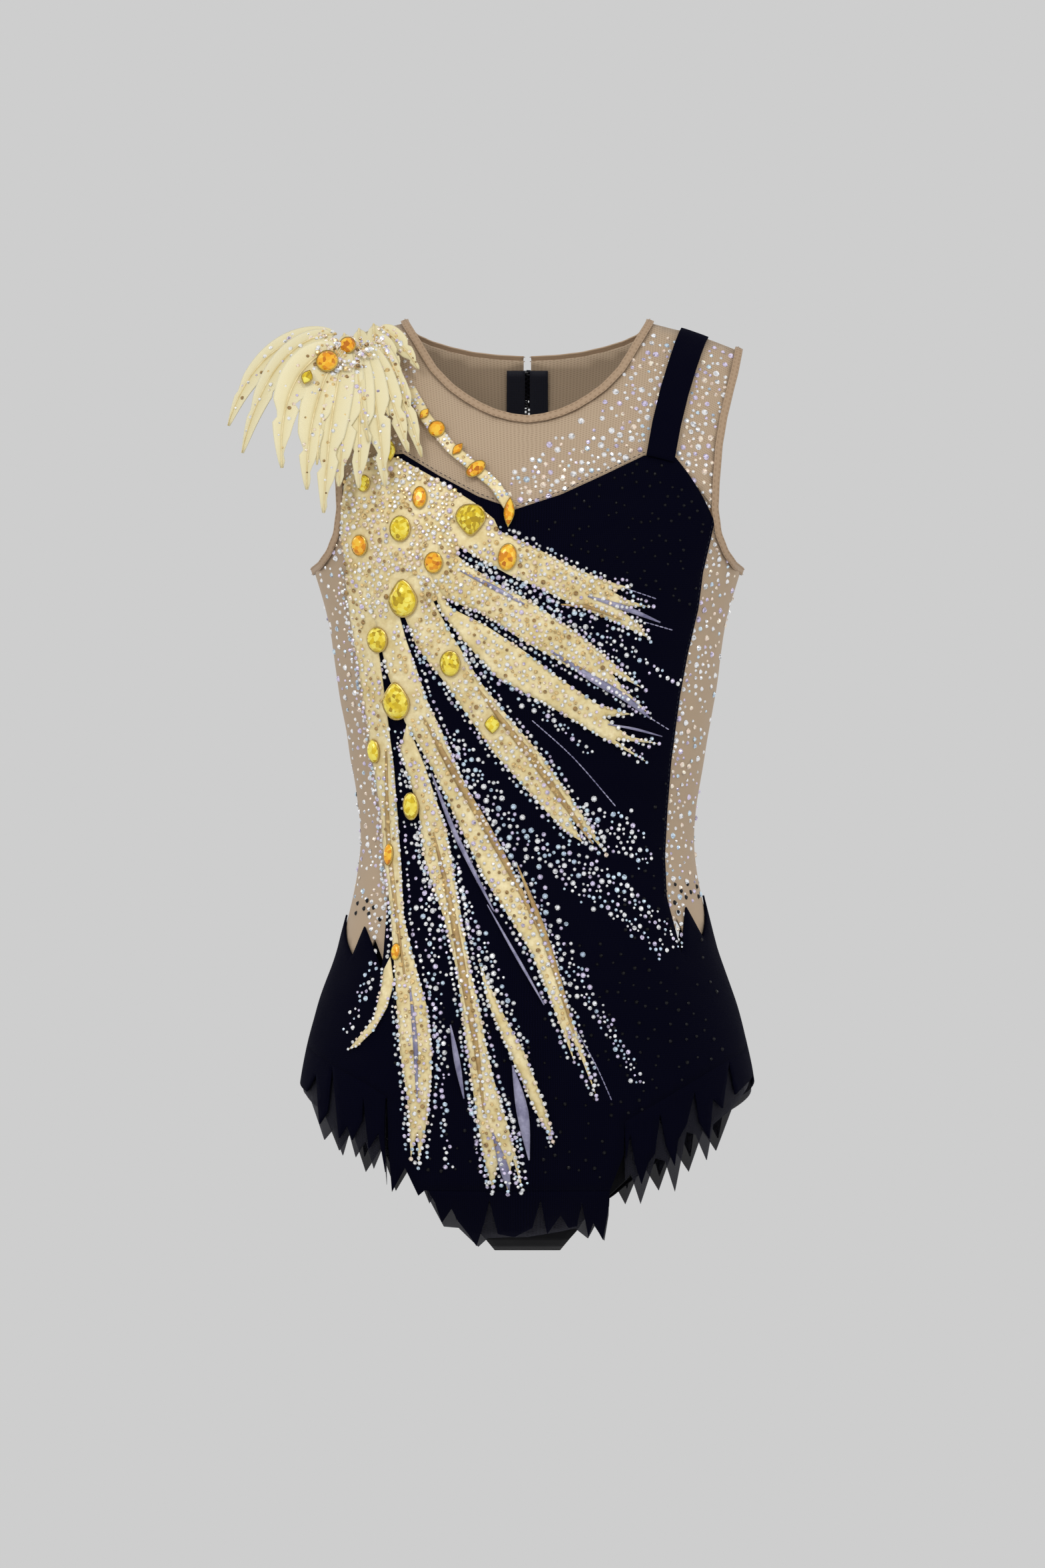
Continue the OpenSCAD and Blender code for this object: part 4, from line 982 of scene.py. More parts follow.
def crystal_piece(name, place, ups, radii, kinds, draw, body):
    """Faceted domes: eight crown facets round a flat table, each stone turned and tilted a little."""
    sides = 8
    ups = unit(ups + draw.normal(0, 0.09, ups.shape))
    across = unit(np.cross(ups, unit(draw.normal(0, 1, ups.shape))))
    third = np.cross(ups, across)
    rings = []
    for share, height, twist in ((1.0, 0.0, 0), (0.5, 0.62, math.pi / sides)):
        turn = (np.arange(sides) * 2 * math.pi / sides + twist)[None, :, None]
        rings.append(place[:, None] + share * radii[:, None, None] * (
            across[:, None] * np.cos(turn) + third[:, None] * np.sin(turn))
            + (ups * (height * radii)[:, None])[:, None])
    faces, which = [], []
    slots = sorted(set(kinds.tolist()))
    for base, kind in zip(range(0, len(place) * sides * 2, sides * 2), kinds):
        for a, b in zip(range(base, base + sides), [*range(base + 1, base + sides), base]):
            faces += [(a, b, a + sides), (b, b + sides, a + sides)]
        faces.append(tuple(range(base + sides, base + 2 * sides)))
        which += [slots.index(kind)] * (2 * sides + 1)
    piece = make_mesh(name, np.concatenate(rings, 1).reshape(-1, 3), faces, KINDS[slots[0]], smooth=False)
    for kind in slots[1:]:
        piece.data.materials.append(KINDS[kind])
    piece.data.polygons.foreach_set("material_index", which)
    belongs(piece, body, "amber_stone")


PALE = [("clear", 5), ("lilac", 2), ("peach", 2), ("aqua", 1)]
ON_GOLD = [("clear", 5), ("peach", 3), ("topaz", 2.5), ("smoke", 1), ("lilac", 1)]
ROOT_MIX = [("clear", 5), ("peach", 4), ("smoke", 1.2), ("topaz", 2.5), ("lilac", 2)]
WATER = [("clear", 6), ("lilac", 3), ("aqua", 3)]
STONE_FACE = RAY_FACE + 0.9
# Large stones: x, z, width, height, turn, outline, material
BIG_STONES = {
    "round_stones": [(-76, 193.5, 12.5, 15, 0, "oval", "citrine"), (-89, 127, 14, 15, 0, "oval", "citrine"),
                     (-54.5, 253, 10, 10, 0, "oval", "amber"), (-78, -63, 6, 10, 0, "oval", "amber"),
                     (-98, 221, 8, 10, 0, "oval", "citrine"), (-62, 262, 5, 8, 35, "navette", "amber")],
    "oval_stones": [(-64.5, 212, 8.5, 13, 0, "oval", "amber"), (-100, 184, 10.5, 12.5, 0, "oval", "amber"),
                    (-56, 173, 11, 12.5, 0, "oval", "amber"), (-12, 176, 11, 16, 8, "oval", "amber"),
                    (-46, 112.5, 12, 15, 0, "oval", "citrine"), (-91, 59.5, 9, 14, 0, "oval", "citrine"),
                    (-69, 26, 10, 16, 0, "oval", "citrine"), (-82, -4, 6.5, 13, 0, "oval", "amber"),
                    (-31, 229, 13, 8, -38, "oval", "amber")],
    "pear_stones": [(-34, 199, 18, 20, 180, "heart", "citrine"), (-74, 152, 18, 22, 0, "pear", "citrine"),
                    (-78, 90, 18, 22, 0, "pear", "citrine")],
    "navette_stones": [(-21, 76, 9, 11, 0, "navette", "citrine"), (-82, 240, 6, 12.5, 0, "navette", "citrine"),
                       (-11, 203, 6.5, 18, 4, "navette", "amber"), (-42, 241, 5, 9, 40, "navette", "amber")],
}


def stone_outline(shape, sides=20):
    t = np.arange(sides) * 2 * math.pi / sides + math.pi / sides
    x, y = np.cos(t), np.sin(t)
    if shape == "pear":
        x = x * (1 - 0.45 * np.maximum(0, y))
    if shape == "navette":
        x = np.sign(x) * (1 - np.abs(y) ** 1.7)
    if shape == "heart":
        x = x * (1 - 0.5 * np.maximum(0, y))
        y = y + 0.16 * (1 - np.abs(x)) * (y < 0)
    return np.stack([x, y], -1)


def big_stone(parts, spot, up, w, h, turn, shape):
    """A foil cup and a cut stone: crown facets in two rows round a table."""
    up = np.asarray(up, float)
    right = unit(np.cross([0.0, 0.0, 1.0], -up))
    rise = np.cross(up, -right)
    c, s = math.cos(math.radians(turn)), math.sin(math.radians(turn))
    edge_xy = stone_outline(shape)
    n = len(edge_xy)
    half_turned = (edge_xy + np.roll(edge_xy, -1, 0)) / 2

    def ring(xy, share, height):
        a, b = xy[:, 0] * w / 2 * share, xy[:, 1] * h / 2 * share
        return spot + np.outer(a * c - b * s, right) + np.outer(a * s + b * c, rise) + up * height

    size = min(w, h)
    cup = [ring(edge_xy, 1.0, 0), ring(edge_xy, 1.07, 0.3), ring(edge_xy, 1.07, 1.3), ring(edge_xy, 0.98, 1.5)]
    gem = [ring(edge_xy, 0.99, 1.2), ring(half_turned, 0.86, 1.4 + 0.1 * size),
           ring(edge_xy, 0.68, 1.5 + 0.17 * size), ring(half_turned, 0.46, 1.5 + 0.21 * size)]
    for kind, rings in (("cup", cup), ("gem", gem)):
        points, faces = parts[kind]
        base = len(points)
        points += np.concatenate(rings).tolist()
        for r in range(len(rings) - 1):
            for k in range(n):
                a, b = base + r * n + k, base + r * n + (k + 1) % n
                if kind == "cup":
                    faces.append((a, b, b + n, a + n))
                elif r % 2 == 0:
                    faces += [(a, b, a + n), (b, b + n, a + n)]
                else:
                    faces += [(a, b, b + n), (a, b + n, a + n)]
        faces.append(tuple(base + (len(rings) - 1) * n + k for k in range(n)) if kind == "gem"
                     else tuple(base + k for k in range(n))[::-1])


def set_stones(name, stones, body="garment", node=None):
    """stones are (place, outward, w, h, turn, outline, material)."""
    for kind in ("amber", "citrine"):
        parts = {"cup": ([], []), "gem": ([], [])}
        chosen = [s for s in stones if s[6] == kind]
        for place, up, w, h, turn, shape, _ in chosen:
            big_stone(parts, place, up, w, h, turn, shape)
        if not chosen:
            continue
        nodes = [node] if node else []
        belongs(make_mesh(f"{name}_{kind}", *parts["gem"], KINDS[kind], smooth=False), body, "amber_stone", *nodes)
        belongs(make_mesh(f"{name}_{kind}_cups", *parts["cup"], FOIL), body, "amber_stone")


def front_stones():
    for node, stones in BIG_STONES.items():
        set_stones(node + "_cut", [
            (lift(angle_at(x, z), z, STONE_FACE - 0.4), outward(angle_at(x, z), z), w, h, turn, shape, kind)
            for x, z, w, h, turn, shape, kind in stones], node=node)


def guard_stones(field):
    for stones in BIG_STONES.values():
        for x, z, w, h, *_ in stones:
            for t in (-0.3, 0, 0.3):
                field.block((x, z + t * h), min(w, h) * 0.52)


# Streams of crystals between and beyond the rays: line, spread, stones per mm
STREAMS = [
    ([(-29, 172.5), (4, 149.5), (37, 132), (64, 118), (92, 99)], 7, 1.7),
    ([(-45, 126), (-20, 108), (4, 88), (22, 72), (38, 58)], 6, 1.5),
    ([(30, 22), (46, 14), (62, 4), (72, -10)], 16, 2.4),
    ([(-45, 72), (-16, 22), (20, -14), (57, -42), (82, -64)], 9, 2.2),
    ([(17, 2), (36, -12), (57, -25), (76, -42), (93, -60)], 8, 1.8),
    ([(-32, 34), (-15, 0), (5, -32), (21, -61), (37, -90), (54, -117), (68, -142)], 8, 2.2),
    ([(-52, 12), (-42, -24), (-30, -55), (-18, -82), (-4, -120), (14, -180)], 6, 1.8),
    ([(-70, 62), (-66, 12), (-60, -38), (-55, -88), (-51, -138), (-49, -192)], 6, 1.8),
    ([(-68, -100), (-64, -130), (-60, -160)], 4, 0.6),
    ([(-34, -150), (-28, -180), (-24, -203)], 5, 1.6),
    ([(-14, -150), (-8, -176), (-4, -200)], 5, 1.2),
    ([(-92, -70), (-100, -92), (-108, -112)], 6, 0.9),
    ([(-62, 150), (-50, 128), (-38, 112)], 4, 0.8),
]


def grown(points, by):
    """The outline, moved outwards by so many millimetres."""
    p = resample(points, 4.0, closed=True)
    way = unit(np.roll(p, -1, 0) - np.roll(p, 1, 0))
    out = np.stack([way[:, 1], -way[:, 0]], -1) * by
    ring = np.asarray(points, float)
    turn = -1 if inside((p + out)[:1], ring)[0] else 1
    return [tuple(q) for q in p + out * turn]


def ray_crystals():
    field = Crystals(11)
    guard_stones(field)
    field.fill(ROOT_EDGE, 26000, [1.0, 1.2, 1.45, 1.75], ROOT_MIX, STONE_FACE, 0.1)
    for points in RAY_EDGES.values():
        field.follow(points + points[:1], 2.9, [1.05, 1.25, 1.45], PALE, STONE_FACE, 0.3, 0.1)
        field.follow(grown(points, 2.9), 3.4, [0.9, 1.2, 1.4], WATER, CLOTH + 0.2, 0.5, 0.1)
        thick_part = lambda p: 0.5 + 0.5 * np.clip(p[:, 1] / 100, 0, 1)
        field.fill(points, 20000, [1.0, 1.2, 1.5], ON_GOLD, STONE_FACE, 0.3, thick_part)
    field.follow(LEAF_EDGE + LEAF_EDGE[:1], 2.8, [0.9, 1.1], PALE, STONE_FACE, 0.2)
    field.build("ray_crystals")


def stream_crystals():
    field = Crystals(12)
    guard_stones(field)
    for line, wide, per_mm in STREAMS:
        field.trail(line, wide * 1.35, per_mm * 1.7, [1.0, 1.3, 1.6, 2.0], WATER, CLOTH + 0.2)
    for line in ([(-42, 150), (-28, 133), (-8, 124)], [(-66, 160), (-52, 132), (-34, 104)]):
        field.follow(line, 3.0, [0.9, 1.1], WATER, CLOTH + 0.2)
    rays_held = [np.asarray(p, float) for p in RAY_EDGES.values()]
    field.stones = [s for s in field.stones
                    if not any(inside(np.array([[s[0], s[1]]]), ring)[0] for ring in rays_held)]
    field.build("stream_crystals")


def net_crystals():
    """Those on the yoke and the side nets crowd towards the velvet and thin away from it."""
    strap = [(70, 238), (79, 256), (84, 276), (90, 293), (96, 308)]
    strap_out = [(90, 238), (96, 258), (101, 280), (106, 298), (110, 309)]
    vee = [(-8, 206), (20, 215), (45, 226.5), (70, 239)]
    field = Crystals(13)
    yoke = [(0, 207), (68, 240), (77, 262), (82, 280), (89, 297), (93, 308), (78, 317), (70, 309), (60, 292),
            (50, 277), (36, 264), (16, 250), (-6, 232), (-14, 214)]
    crowd = lambda p: np.exp(-np.minimum(near(p, vee), near(p, strap)) / 13) + 0.02
    field.fill(yoke, 5200, [1.1, 1.4, 1.75, 2.15], PALE, NUDE_FACE, 0.3, crowd)
    outer = [(91, 240), (102, 219), (112, 200), (112.5, 222), (114, 245), (117, 262), (121, 280), (126, 302),
             (112, 308), (105, 294), (100, 276), (96, 258)]
    crowd_out = lambda p: np.exp(-np.minimum(near(p, strap_out), near(p, [(90, 238), (113, 198)])) / 14) + 0.05
    field.fill(outer, 2400, [1.1, 1.4, 1.75, 2.15], PALE, NUDE_FACE, 0.3, crowd_out)
    field.fill([(-128, 300), (-76, 318), (-66, 290), (-76, 244), (-92, 238), (-114, 205), (-115, 240)], 900,
               [1.0, 1.3], PALE, NUDE_FACE, 0.5)
    for way, depth, low in ((1, 9.0, -60), (-1, 12.0, -66)):
        fore = [(way * x, z) for x, z in BODICE_EDGE] + [(way * 93, low)]
        ring = [(way * (x + 1.4), z) for x, z in BODICE_EDGE] + [
                (way * 93, low), (way * 98, -34), (way * 108, -30),
                (way * 106, 0), (way * 108, 50), (way * 116, 100), (way * 126, 150), (way * 127, 168),
                (way * 119, 180)]
        field.fill(ring, 6000, [1.0, 1.3, 1.6, 2.0], PALE, NUDE_FACE, 0.3,
                   lambda p: np.exp(-near(p, fore) / depth) + 0.015)
    field.build("net_crystals")


def dark_crystals():
    """Jet stones by the teeth and over the velvet below the rays, where they hardly show."""
    field = Crystals(14)
    for way in (1, -1):
        for x, z in ((97, -30), (100, -27), (104, -24), (94, -26), (98, -22), (90, -33), (105, -30), (92, -58)):
            field.add(way * x, z + (0 if way > 0 else -10), 1.6, "jet", CLOTH + 0.1)
    field.stones = [s[:4] + (NUDE_FACE,) for s in field.stones]
    lower = [(-100, -60), (-60, -195), (45, -200), (55, -168), (100, -136), (124, -118), (108, -60), (84, -10),
             (84, 60), (60, -20), (20, -60), (0, -120)]
    field.fill(lower, 900, [0.9, 1.1, 1.3], [("jet", 1)], CLOTH + 0.1, 3.0)
    field.fill([(0, 200), (68, 234), (86, 234), (108, 196), (100, 140), (60, 165), (20, 186)], 300, [0.9, 1.1],
               [("jet", 1)], CLOTH + 0.1, 2.5)
    field.build("jet_crystals")


def trim_crystals():
    field = Crystals(15)
    for x, z, w, h, *_ in BIG_STONES["round_stones"] + BIG_STONES["oval_stones"] + BIG_STONES["navette_stones"]:
        field.block((x, z), max(w, h) * 0.45)
    line = np.array([(-71, 277), (-61, 260), (-46, 242), (-30, 229), (-20, 220), (-10, 206)])
    for shift in (-2.6, 2.6):
        field.follow(line + [shift * 0.7, shift * 0.7], 2.6, [0.9, 1.1], PALE, 3.1, 0.15, 0.1)
    field.follow(line, 3.4, [1.0, 1.2], ON_GOLD, 3.4, 0.3, 0.1)
    field.build("trim_crystals")


front_stones()
ray_crystals()
stream_crystals()
net_crystals()
dark_crystals()
trim_crystals()


# ---- Feathers and the epaulette ----

FEATHER_STEP, FEATHER_THICK = 2.2, 0.6
# Depth of the innermost feathers at each height
FEATHER_DEPTH = np.array([(200, -71), (225, -70), (245, -68), (262, -64), (280, -57), (300, -45.5), (320, -30)])
FRONT_FEATHERS = [
    ((-92, 305), (-74, 275), (-64, 237), 14, 2), ((-96, 306), (-82, 275), (-72, 240), 16, 3),
    ((-100, 306), (-90, 270), (-86, 219), 20, 4), ((-104, 306), (-100, 265), (-102, 218), 21, 5),
    ((-107, 306), (-110, 265), (-114, 219), 22, 6), ((-110, 305), (-120, 262), (-123, 203), 23, 7),
    ((-113, 304), (-134, 268), (-133, 217), 22, 8), ((-115, 304), (-152, 292), (-148, 230), 24, 9),
]
NECK_LEAVES = [((-90, 317), (-78, 311), (-66, 291), 13, 0), ((-93, 312), (-84, 304), (-77, 290), 12, 1)]
# Leaves without CAD solids of their own, between the layers of the others
SMALL_LEAVES = [((-97, 304), (-92, 288), (-84, 262), 9, 3.5), ((-103, 304), (-104, 284), (-96, 246), 9, 5.5),
                ((-110, 303), (-124, 288), (-127, 232), 10, 7.5), ((-90, 308), (-80, 294), (-72, 268), 8, 2.5)]
ARM_FEATHERS = [((-119, -8, 314), (-158, -14, 309), (-174, -18, 241), 25),
                ((-118, 4, 315), (-166, 2, 314), (-183, -4, 258), 24)]


def leaf(t):
    """Share of the greatest width at t along a feather."""
    return 0.06 + 0.94 * np.sin(math.pi * t ** 0.75) ** 0.8 * (1 - 0.25 * t)


def bow(root, bend, tip, t):
    """Points at shares t along a bent line from root to tip."""
    t = t[:, None]
    root, bend, tip = (np.asarray(p, float) for p in (root, bend, tip))
    return (1 - t) ** 2 * root + 2*t * (1-t) * bend + t*t * tip


def blade(name, centre, across, up, width, body, node, notches=()):
    """A feather along centre points: folded at its rib, its edges curled back and cut into barbs."""
    steps, half = len(centre), 8
    t = np.linspace(0, 1, steps)
    s = np.linspace(-1, 1, 2 * half + 1)
    wide = leaf(t) * width / 2
    cut = np.ones((steps, 2))
    for at, side, deep in notches:
        cut[:, side] -= deep * np.clip((t - at) / 0.1, 0, 1) * np.clip((at + 0.12 - t) / 0.02, 0, 1)
    reach = np.where(s[None] < 0, cut[:, :1], cut[:, 1:]) * wide[:, None] * s[None]
    fold = (1 - np.abs(s)) * np.minimum(1, t * 6)[:, None]
    curl = -0.5 * s[None] ** 4 * leaf(t)[:, None]
    rows = centre[:, None] + across[:, None] * reach[..., None] + up[:, None] * (fold + curl)[..., None]
    piece = lattice(name, rows, FEATHER, FEATHER_THICK)
    rib = tube(f"{name}_rib", centre + up * (fold[:, half] + 0.35)[:, None], 0.55 * (1 - 0.75 * t) + 0.12, GOLD, 6)
    belongs(piece, body, "cream_feather", *([node] if node else []))
    belongs(rib, body, "cream_feather")
    return cloth_piece(piece)


def front_blade(k, root, bend, tip, width, layer, node):
    t = np.linspace(0, 1, 30)
    flat = bow(root, bend, tip, t)
    y = np.interp(flat[:, 1], *FEATHER_DEPTH.T) - layer * FEATHER_STEP - 0.8
    centre = np.stack([flat[:, 0], y, flat[:, 1]], -1)
    way = unit(np.gradient(flat, axis=0))
    across = np.stack([way[:, 1], np.zeros(len(t)), -way[:, 0]], -1)
    up = np.tile([0.0, -1.0, 0.0], (len(t), 1))
    draw = random.Random(40 + k)
    notches = [(draw.uniform(0.45, 0.6), 0, 0.5), (draw.uniform(0.6, 0.75), 1, 0.55),
               (draw.uniform(0.78, 0.86), 0, 0.6)]
    blade(f"feather_{k}_satin", centre, across, up, width, "feathers_front", node, notches)
    return centre, across


def arm_blade(k, root, bend, tip, width, node):
    t = np.linspace(0, 1, 30)
    centre = bow(root, bend, tip, t)
    way = unit(np.gradient(centre, axis=0))
    across = unit(np.cross(way, np.array([-0.5, -0.7, 0.5])))
    up = np.cross(across, way)
    blade(f"arm_feather_{k}_satin", centre, across, up, width, "feathers_arm", node,
          [(0.55, 0, 0.3), (0.7, 1, 0.3)])
    return centre, across, up


def blade_stones(draw, centre, across, width, up=None):
    """Crystals down a feather, in two wandering rows and a crowded root."""
    spots, ups, radii = [], [], []
    for t in np.concatenate([np.linspace(0.03, 0.9, 17), draw.uniform(0.02, 0.4, 9)]):
        i = int(t * (len(centre) - 1))
        s = draw.uniform(-0.6, 0.6)
        lean = up[i] if up is not None else np.array([0.0, -1.0, 0.0])
        spots.append(centre[i] + across[i] * s * width / 2 * float(leaf(t))
                     + lean * (1 - abs(s) + 0.35))
        ups.append(lean)
        radii.append(draw.choice([0.9, 1.15, 1.4, 1.7]) * (1 - 0.3 * t))
    return spots, ups, radii


def feathers():
    draw = np.random.default_rng(21)
    kept = {"feathers_front": ([], [], []), "feathers_arm": ([], [], [])}
    for k, (root, bend, tip, width, layer) in enumerate(FRONT_FEATHERS + SMALL_LEAVES + NECK_LEAVES, 1):
        node = f"feather_{k}" if k <= 8 else ("neck_leaves" if k == 13 else None)
        centre, across = front_blade(k, root, bend, tip, width, layer, node)
        for store, new in zip(kept["feathers_front"], blade_stones(draw, centre, across, width)):
            store += new
    for k, (root, bend, tip, width) in enumerate(ARM_FEATHERS, 1):
        centre, across, up = arm_blade(k, root, bend, tip, width, "arm_feathers" if k == 1 else None)
        for store, new in zip(kept["feathers_arm"], blade_stones(draw, centre, across, width, up)):
            store += new
    mix = np.array([k for k, n in ON_GOLD for _ in range(int(n))])
    for body, (spots, ups, radii) in kept.items():
        kinds = draw.choice(mix, len(spots))
        crystal_piece(f"{body}_crystals", np.array(spots), np.array(ups), np.array(radii), kinds, draw, body)


def epaulette_pad():
    """A thin stuffed base under the feathers' roots: cloth held at its rim and blown up a little."""
    across, down = 19, 15
    us, vs = np.meshgrid(np.linspace(0, 1, across), np.linspace(0, 1, down))
    x = -86 - 35 * us
    z = (317 - 27 * vs) * (1 - us) + (305.7 - 23.7 * vs) * us
    u = angle_at(x, z)
    front_rows = lift(u, z, CLOTH + 1.6)
    back_rows = lift(u, z, CLOTH + 0.5)
    rim = np.zeros((down, across), bool)
    rim[0] = rim[-1] = rim[:, 0] = rim[:, -1] = True
    back_rows[rim] = front_rows[rim]
    n = across * down
    at = lambda r, c: r * across + c
    back_of = {at(r, c): at(r, c) if rim[r, c] else n + at(r, c) for r in range(down) for c in range(across)}
    faces = []
    for r in range(down - 1):
        for c in range(across - 1):
            quad = (at(r, c), at(r + 1, c), at(r + 1, c + 1), at(r, c + 1))
            faces += [quad, tuple(back_of[i] for i in quad[::-1])]
    points = np.concatenate([front_rows.reshape(-1, 3), back_rows.reshape(-1, 3)])
    used = sorted({i for f in faces for i in f})
    renumber = {old: new for new, old in enumerate(used)}
    piece = make_mesh("epaulette_pad", points[used], [tuple(renumber[i] for i in f) for f in faces], GOLD,
                      weave=np.stack([points[used][:, 0], points[used][:, 2]], -1))
    held = piece.vertex_groups.new(name="held")
    held.add([renumber[i] for i in used if i >= n or rim.reshape(-1)[i % n]], 1.0, "REPLACE")
    puff(piece, "held")
    return on_garment(piece, "gold_applique", "epaulette_base")


def puff(piece, group):
    cloth = piece.modifiers.new("cloth", "CLOTH")
    cloth.settings.quality = 6
    cloth.settings.mass = 0.2
    cloth.settings.tension_stiffness = cloth.settings.compression_stiffness = 12
    cloth.settings.bending_stiffness = 0.6
    cloth.settings.use_pressure = True
    cloth.settings.uniform_pressure_force = 1.2
    cloth.settings.vertex_group_mass = group
    cloth.settings.effector_weights.gravity = 0.2
    frames = 16
    cloth.point_cache.frame_end = frames
    scene = bpy.context.scene
    for step in range(1, frames + 1):
        scene.frame_set(step)
    shape = bpy.data.meshes.new_from_object(piece.evaluated_get(bpy.context.evaluated_depsgraph_get()))
    piece.modifiers.remove(cloth)
    moved_to = np.array([v.co for v in shape.vertices])
    rest = np.array([v.co for v in piece.data.vertices])
    limit = 2.2 * MM
    shift = np.clip(np.nan_to_num(moved_to - rest), -limit, limit)
    piece.data.vertices.foreach_set("co", (rest + shift).ravel())
    piece.data.update()
    piece.data.polygons.foreach_set("use_smooth", [True] * len(piece.data.polygons))
    scene.frame_set(1)


def epaulette_stones():
    draw = np.random.default_rng(22)
    deep = lambda x, z, layer: (x, float(np.interp(z, *FEATHER_DEPTH.T)) - layer * FEATHER_STEP - 3.0, z)
    out = unit(np.array([-0.15, -0.95, 0.3]))
    set_stones("epaulette_cut", [
        (np.array(deep(-109, 305, 7)), out, 10, 10, 0, "oval", "amber"),
        (np.array(deep(-121, 295, 9)), out, 13, 13, 0, "oval", "amber"),
        (np.array(deep(-133, 285, 9.5)), out, 7, 9, 20, "navette", "citrine")], body="feathers_front")
    spots, ups, radii = [], [], []
    for _ in range(70):
        a, r = draw.uniform(0, 2 * math.pi), draw.uniform(0.35, 1) * 15
        x, z = -110 + 1.25 * r * math.cos(a), 300 + 0.75 * r * math.sin(a)
        spots.append(deep(x, z, 7.6 - 0.12 * (x + 110)))
        ups.append(out)
        radii.append(draw.choice([1.0, 1.3, 1.6]))
    mix = np.array([k for k, n in ROOT_MIX for _ in range(int(n))])
    crystal_piece("epaulette_crystals", np.array(spots), np.array(ups), np.array(radii),
                  draw.choice(mix, len(spots)), draw, "feathers_front")


def pad_leaves():
    """Short leaves sewn flat over the base, where it shows from above between the two groups."""
    for k, x in enumerate((-91, -100, -109, -118), 1):
        t = np.linspace(0, 1, 16)
        xs, zs = x + 3 * (t - 0.5), 316.5 + (x + 86) * 0.32 - 30 * t
        u = angle_at(xs, zs)
        centre, up = lift(u, zs, CLOTH + 4.4), outward(u, zs)
        across = unit(np.cross(unit(np.gradient(centre, axis=0)), up))
        blade(f"pad_leaf_{k}_satin", centre, across, up, 13, "garment", None)


pad = epaulette_pad()
pad_leaves()
feathers()
epaulette_stones()


# ---- Zip ----

TAPE_FACE, ZIP_TOP, ZIP_FOOT, TOOTH_STEP = -4.2 + 0.9, 295, 60, 1.25


def zip_parts():
    heights = np.linspace(ZIP_TOP, ZIP_FOOT, 60)
    for way, side in SIDES:
        rows = [[lift(180 - way * float(angle_at(x, z)), z, TAPE_FACE) for x in np.linspace(1.6, 13, 5)]
                for z in heights]
        tape = lattice(f"zip_tape_{side}", rows, ZIP_TAPE, 0.7)
        on_garment(tape, "zip_tape", *(["zip_tapes"] if way > 0 else []))
        cloth_piece(tape)
    points, faces = [], []
    for k, z in enumerate(np.arange(ZIP_FOOT, ZIP_TOP, TOOTH_STEP)):
        side = 1 if k % 2 else -1
        mid, out = lift(180, z, 0.1), outward(180, z)
        up = unit(lift(180, z + 1, 0) - lift(180, z - 1, 0))
        base = len(points)
        for h in (-0.9, 0.55):
            for a, b in ((-0.5, -0.45), (2.1, -0.3), (2.1, 0.3), (-0.5, 0.45)):
                points.append(mid + np.array([side * a, 0, 0]) + up * b + out * h)
        faces += [tuple(base + i for i in f) for f in ((0, 1, 2, 3), (7, 6, 5, 4), (0, 4, 5, 1), (1, 5, 6, 2),
                                                       (2, 6, 7, 3), (3, 7, 4, 0))]
    on_garment(make_mesh("zip_coil_teeth", points, faces, COIL, smooth=False), "zip_coil", "zip_teeth")
    stop = [lift(180, z, 0.2) for z in (59.5, 57.5)]
    on_garment(tube("zip_stop", stop, 1.6, METAL, 8), "zip_metal")


zip_parts()
for NODE in ("zip_slider", "zip_pull"):
    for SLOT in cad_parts[NODE].material_slots:
        SLOT.material = METAL


# ---- Studio, lights and camera ----

WORLD_LIGHT = 0.617
KEY_WATTS, FILL_WATTS, SPARK_WATTS, RIM_WATTS = 22.0, 7.0, 16.0, 5.0
FLOOR_RADIUS, FLOOR_Z = 2800.0, -750.0


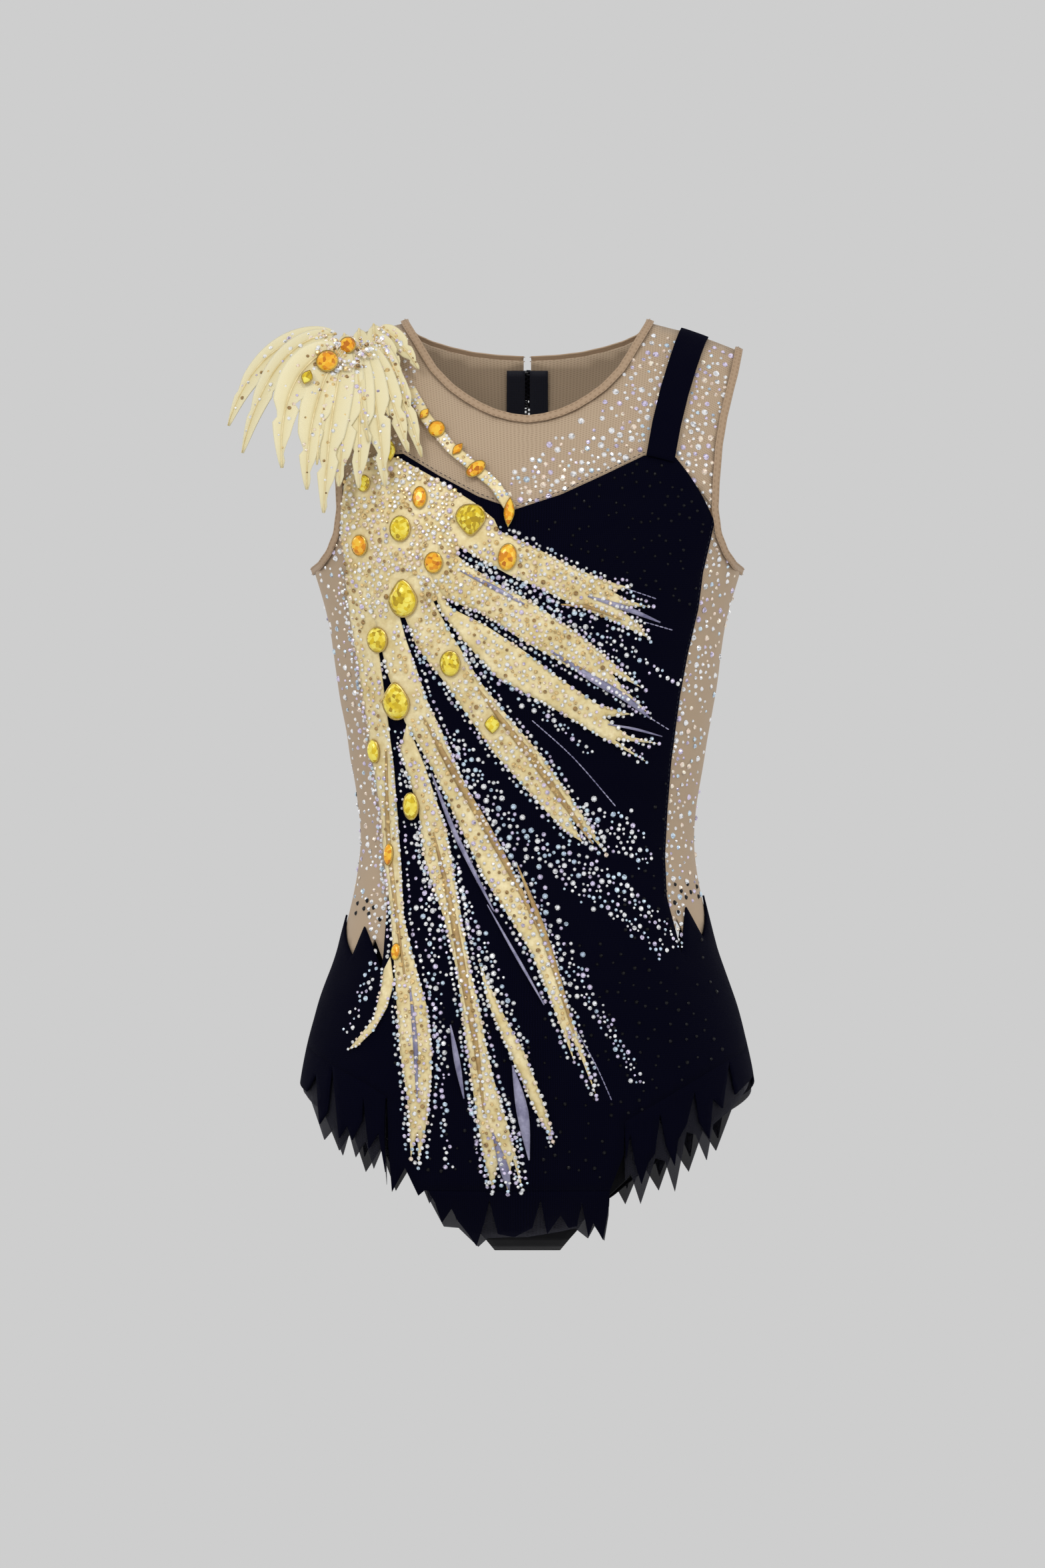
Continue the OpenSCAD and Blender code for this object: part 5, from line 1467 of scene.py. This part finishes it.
def studio():
    """A pale round floor; the even world behind it shows as the plain backdrop from every side."""
    paper = Shader("pale floor", srgb(228, 228, 228), 0.95, Specular_IOR_Level=0.0)
    paper.bump(paper.noise(900, 2), 0.05, 0.2)
    rim = [(FLOOR_RADIUS * math.cos(a), FLOOR_RADIUS * math.sin(a), FLOOR_Z) for a in np.radians(range(0, 360, 4))]
    make_mesh("floor", rim, [tuple(range(len(rim)))], paper.material)


def area_light(name, place, aim, size, watts):
    data = bpy.data.lights.new(name, "AREA")
    data.shape = "RECTANGLE"
    data.size, data.size_y = size
    data.energy = watts
    lamp = bpy.data.objects.new(name, data)
    lamp.location = place
    lamp.rotation_euler = (Vector(aim) - Vector(place)).to_track_quat("-Z", "Y").to_euler()
    bpy.context.scene.collection.objects.link(lamp)


def lights():
    world = bpy.data.worlds.new("studio")
    world.use_nodes = True
    world.node_tree.nodes["Background"].inputs[0].default_value = (1, 1, 1, 1)
    world.node_tree.nodes["Background"].inputs[1].default_value = WORLD_LIGHT
    bpy.context.scene.world = world
    area_light("key", (-1.3, -2.6, 1.5), (0, 0, 0), (1.2, 1.2), KEY_WATTS)
    area_light("fill", (2.2, -2.2, 0.4), (0, 0, 0), (1.6, 2.0), FILL_WATTS)
    area_light("spark", (0.5, -2.4, 2.2), (0, 0, 0.05), (0.25, 0.25), SPARK_WATTS)
    area_light("rim_left", (-1.8, 0.9, 0.8), (0, 0, 0), (0.5, 1.6), RIM_WATTS)
    area_light("rim_right", (1.8, 0.9, 0.8), (0, 0, 0), (0.5, 1.6), RIM_WATTS)


def camera():
    data = bpy.data.cameras.new("camera")
    data.sensor_fit = "VERTICAL"
    data.sensor_height = 36.0
    data.lens = 187.0
    eye = bpy.data.objects.new("camera", data)
    aim = Vector((-0.003, 0.0, 0.0385))
    eye.location = aim + Vector((0, -5.0, 0.06))
    eye.rotation_euler = (aim - eye.location).to_track_quat("-Z", "Y").to_euler()
    bpy.context.scene.collection.objects.link(eye)
    bpy.context.scene.camera = eye


studio()
lights()
camera()
bpy.context.scene.view_settings.view_transform = "Standard"
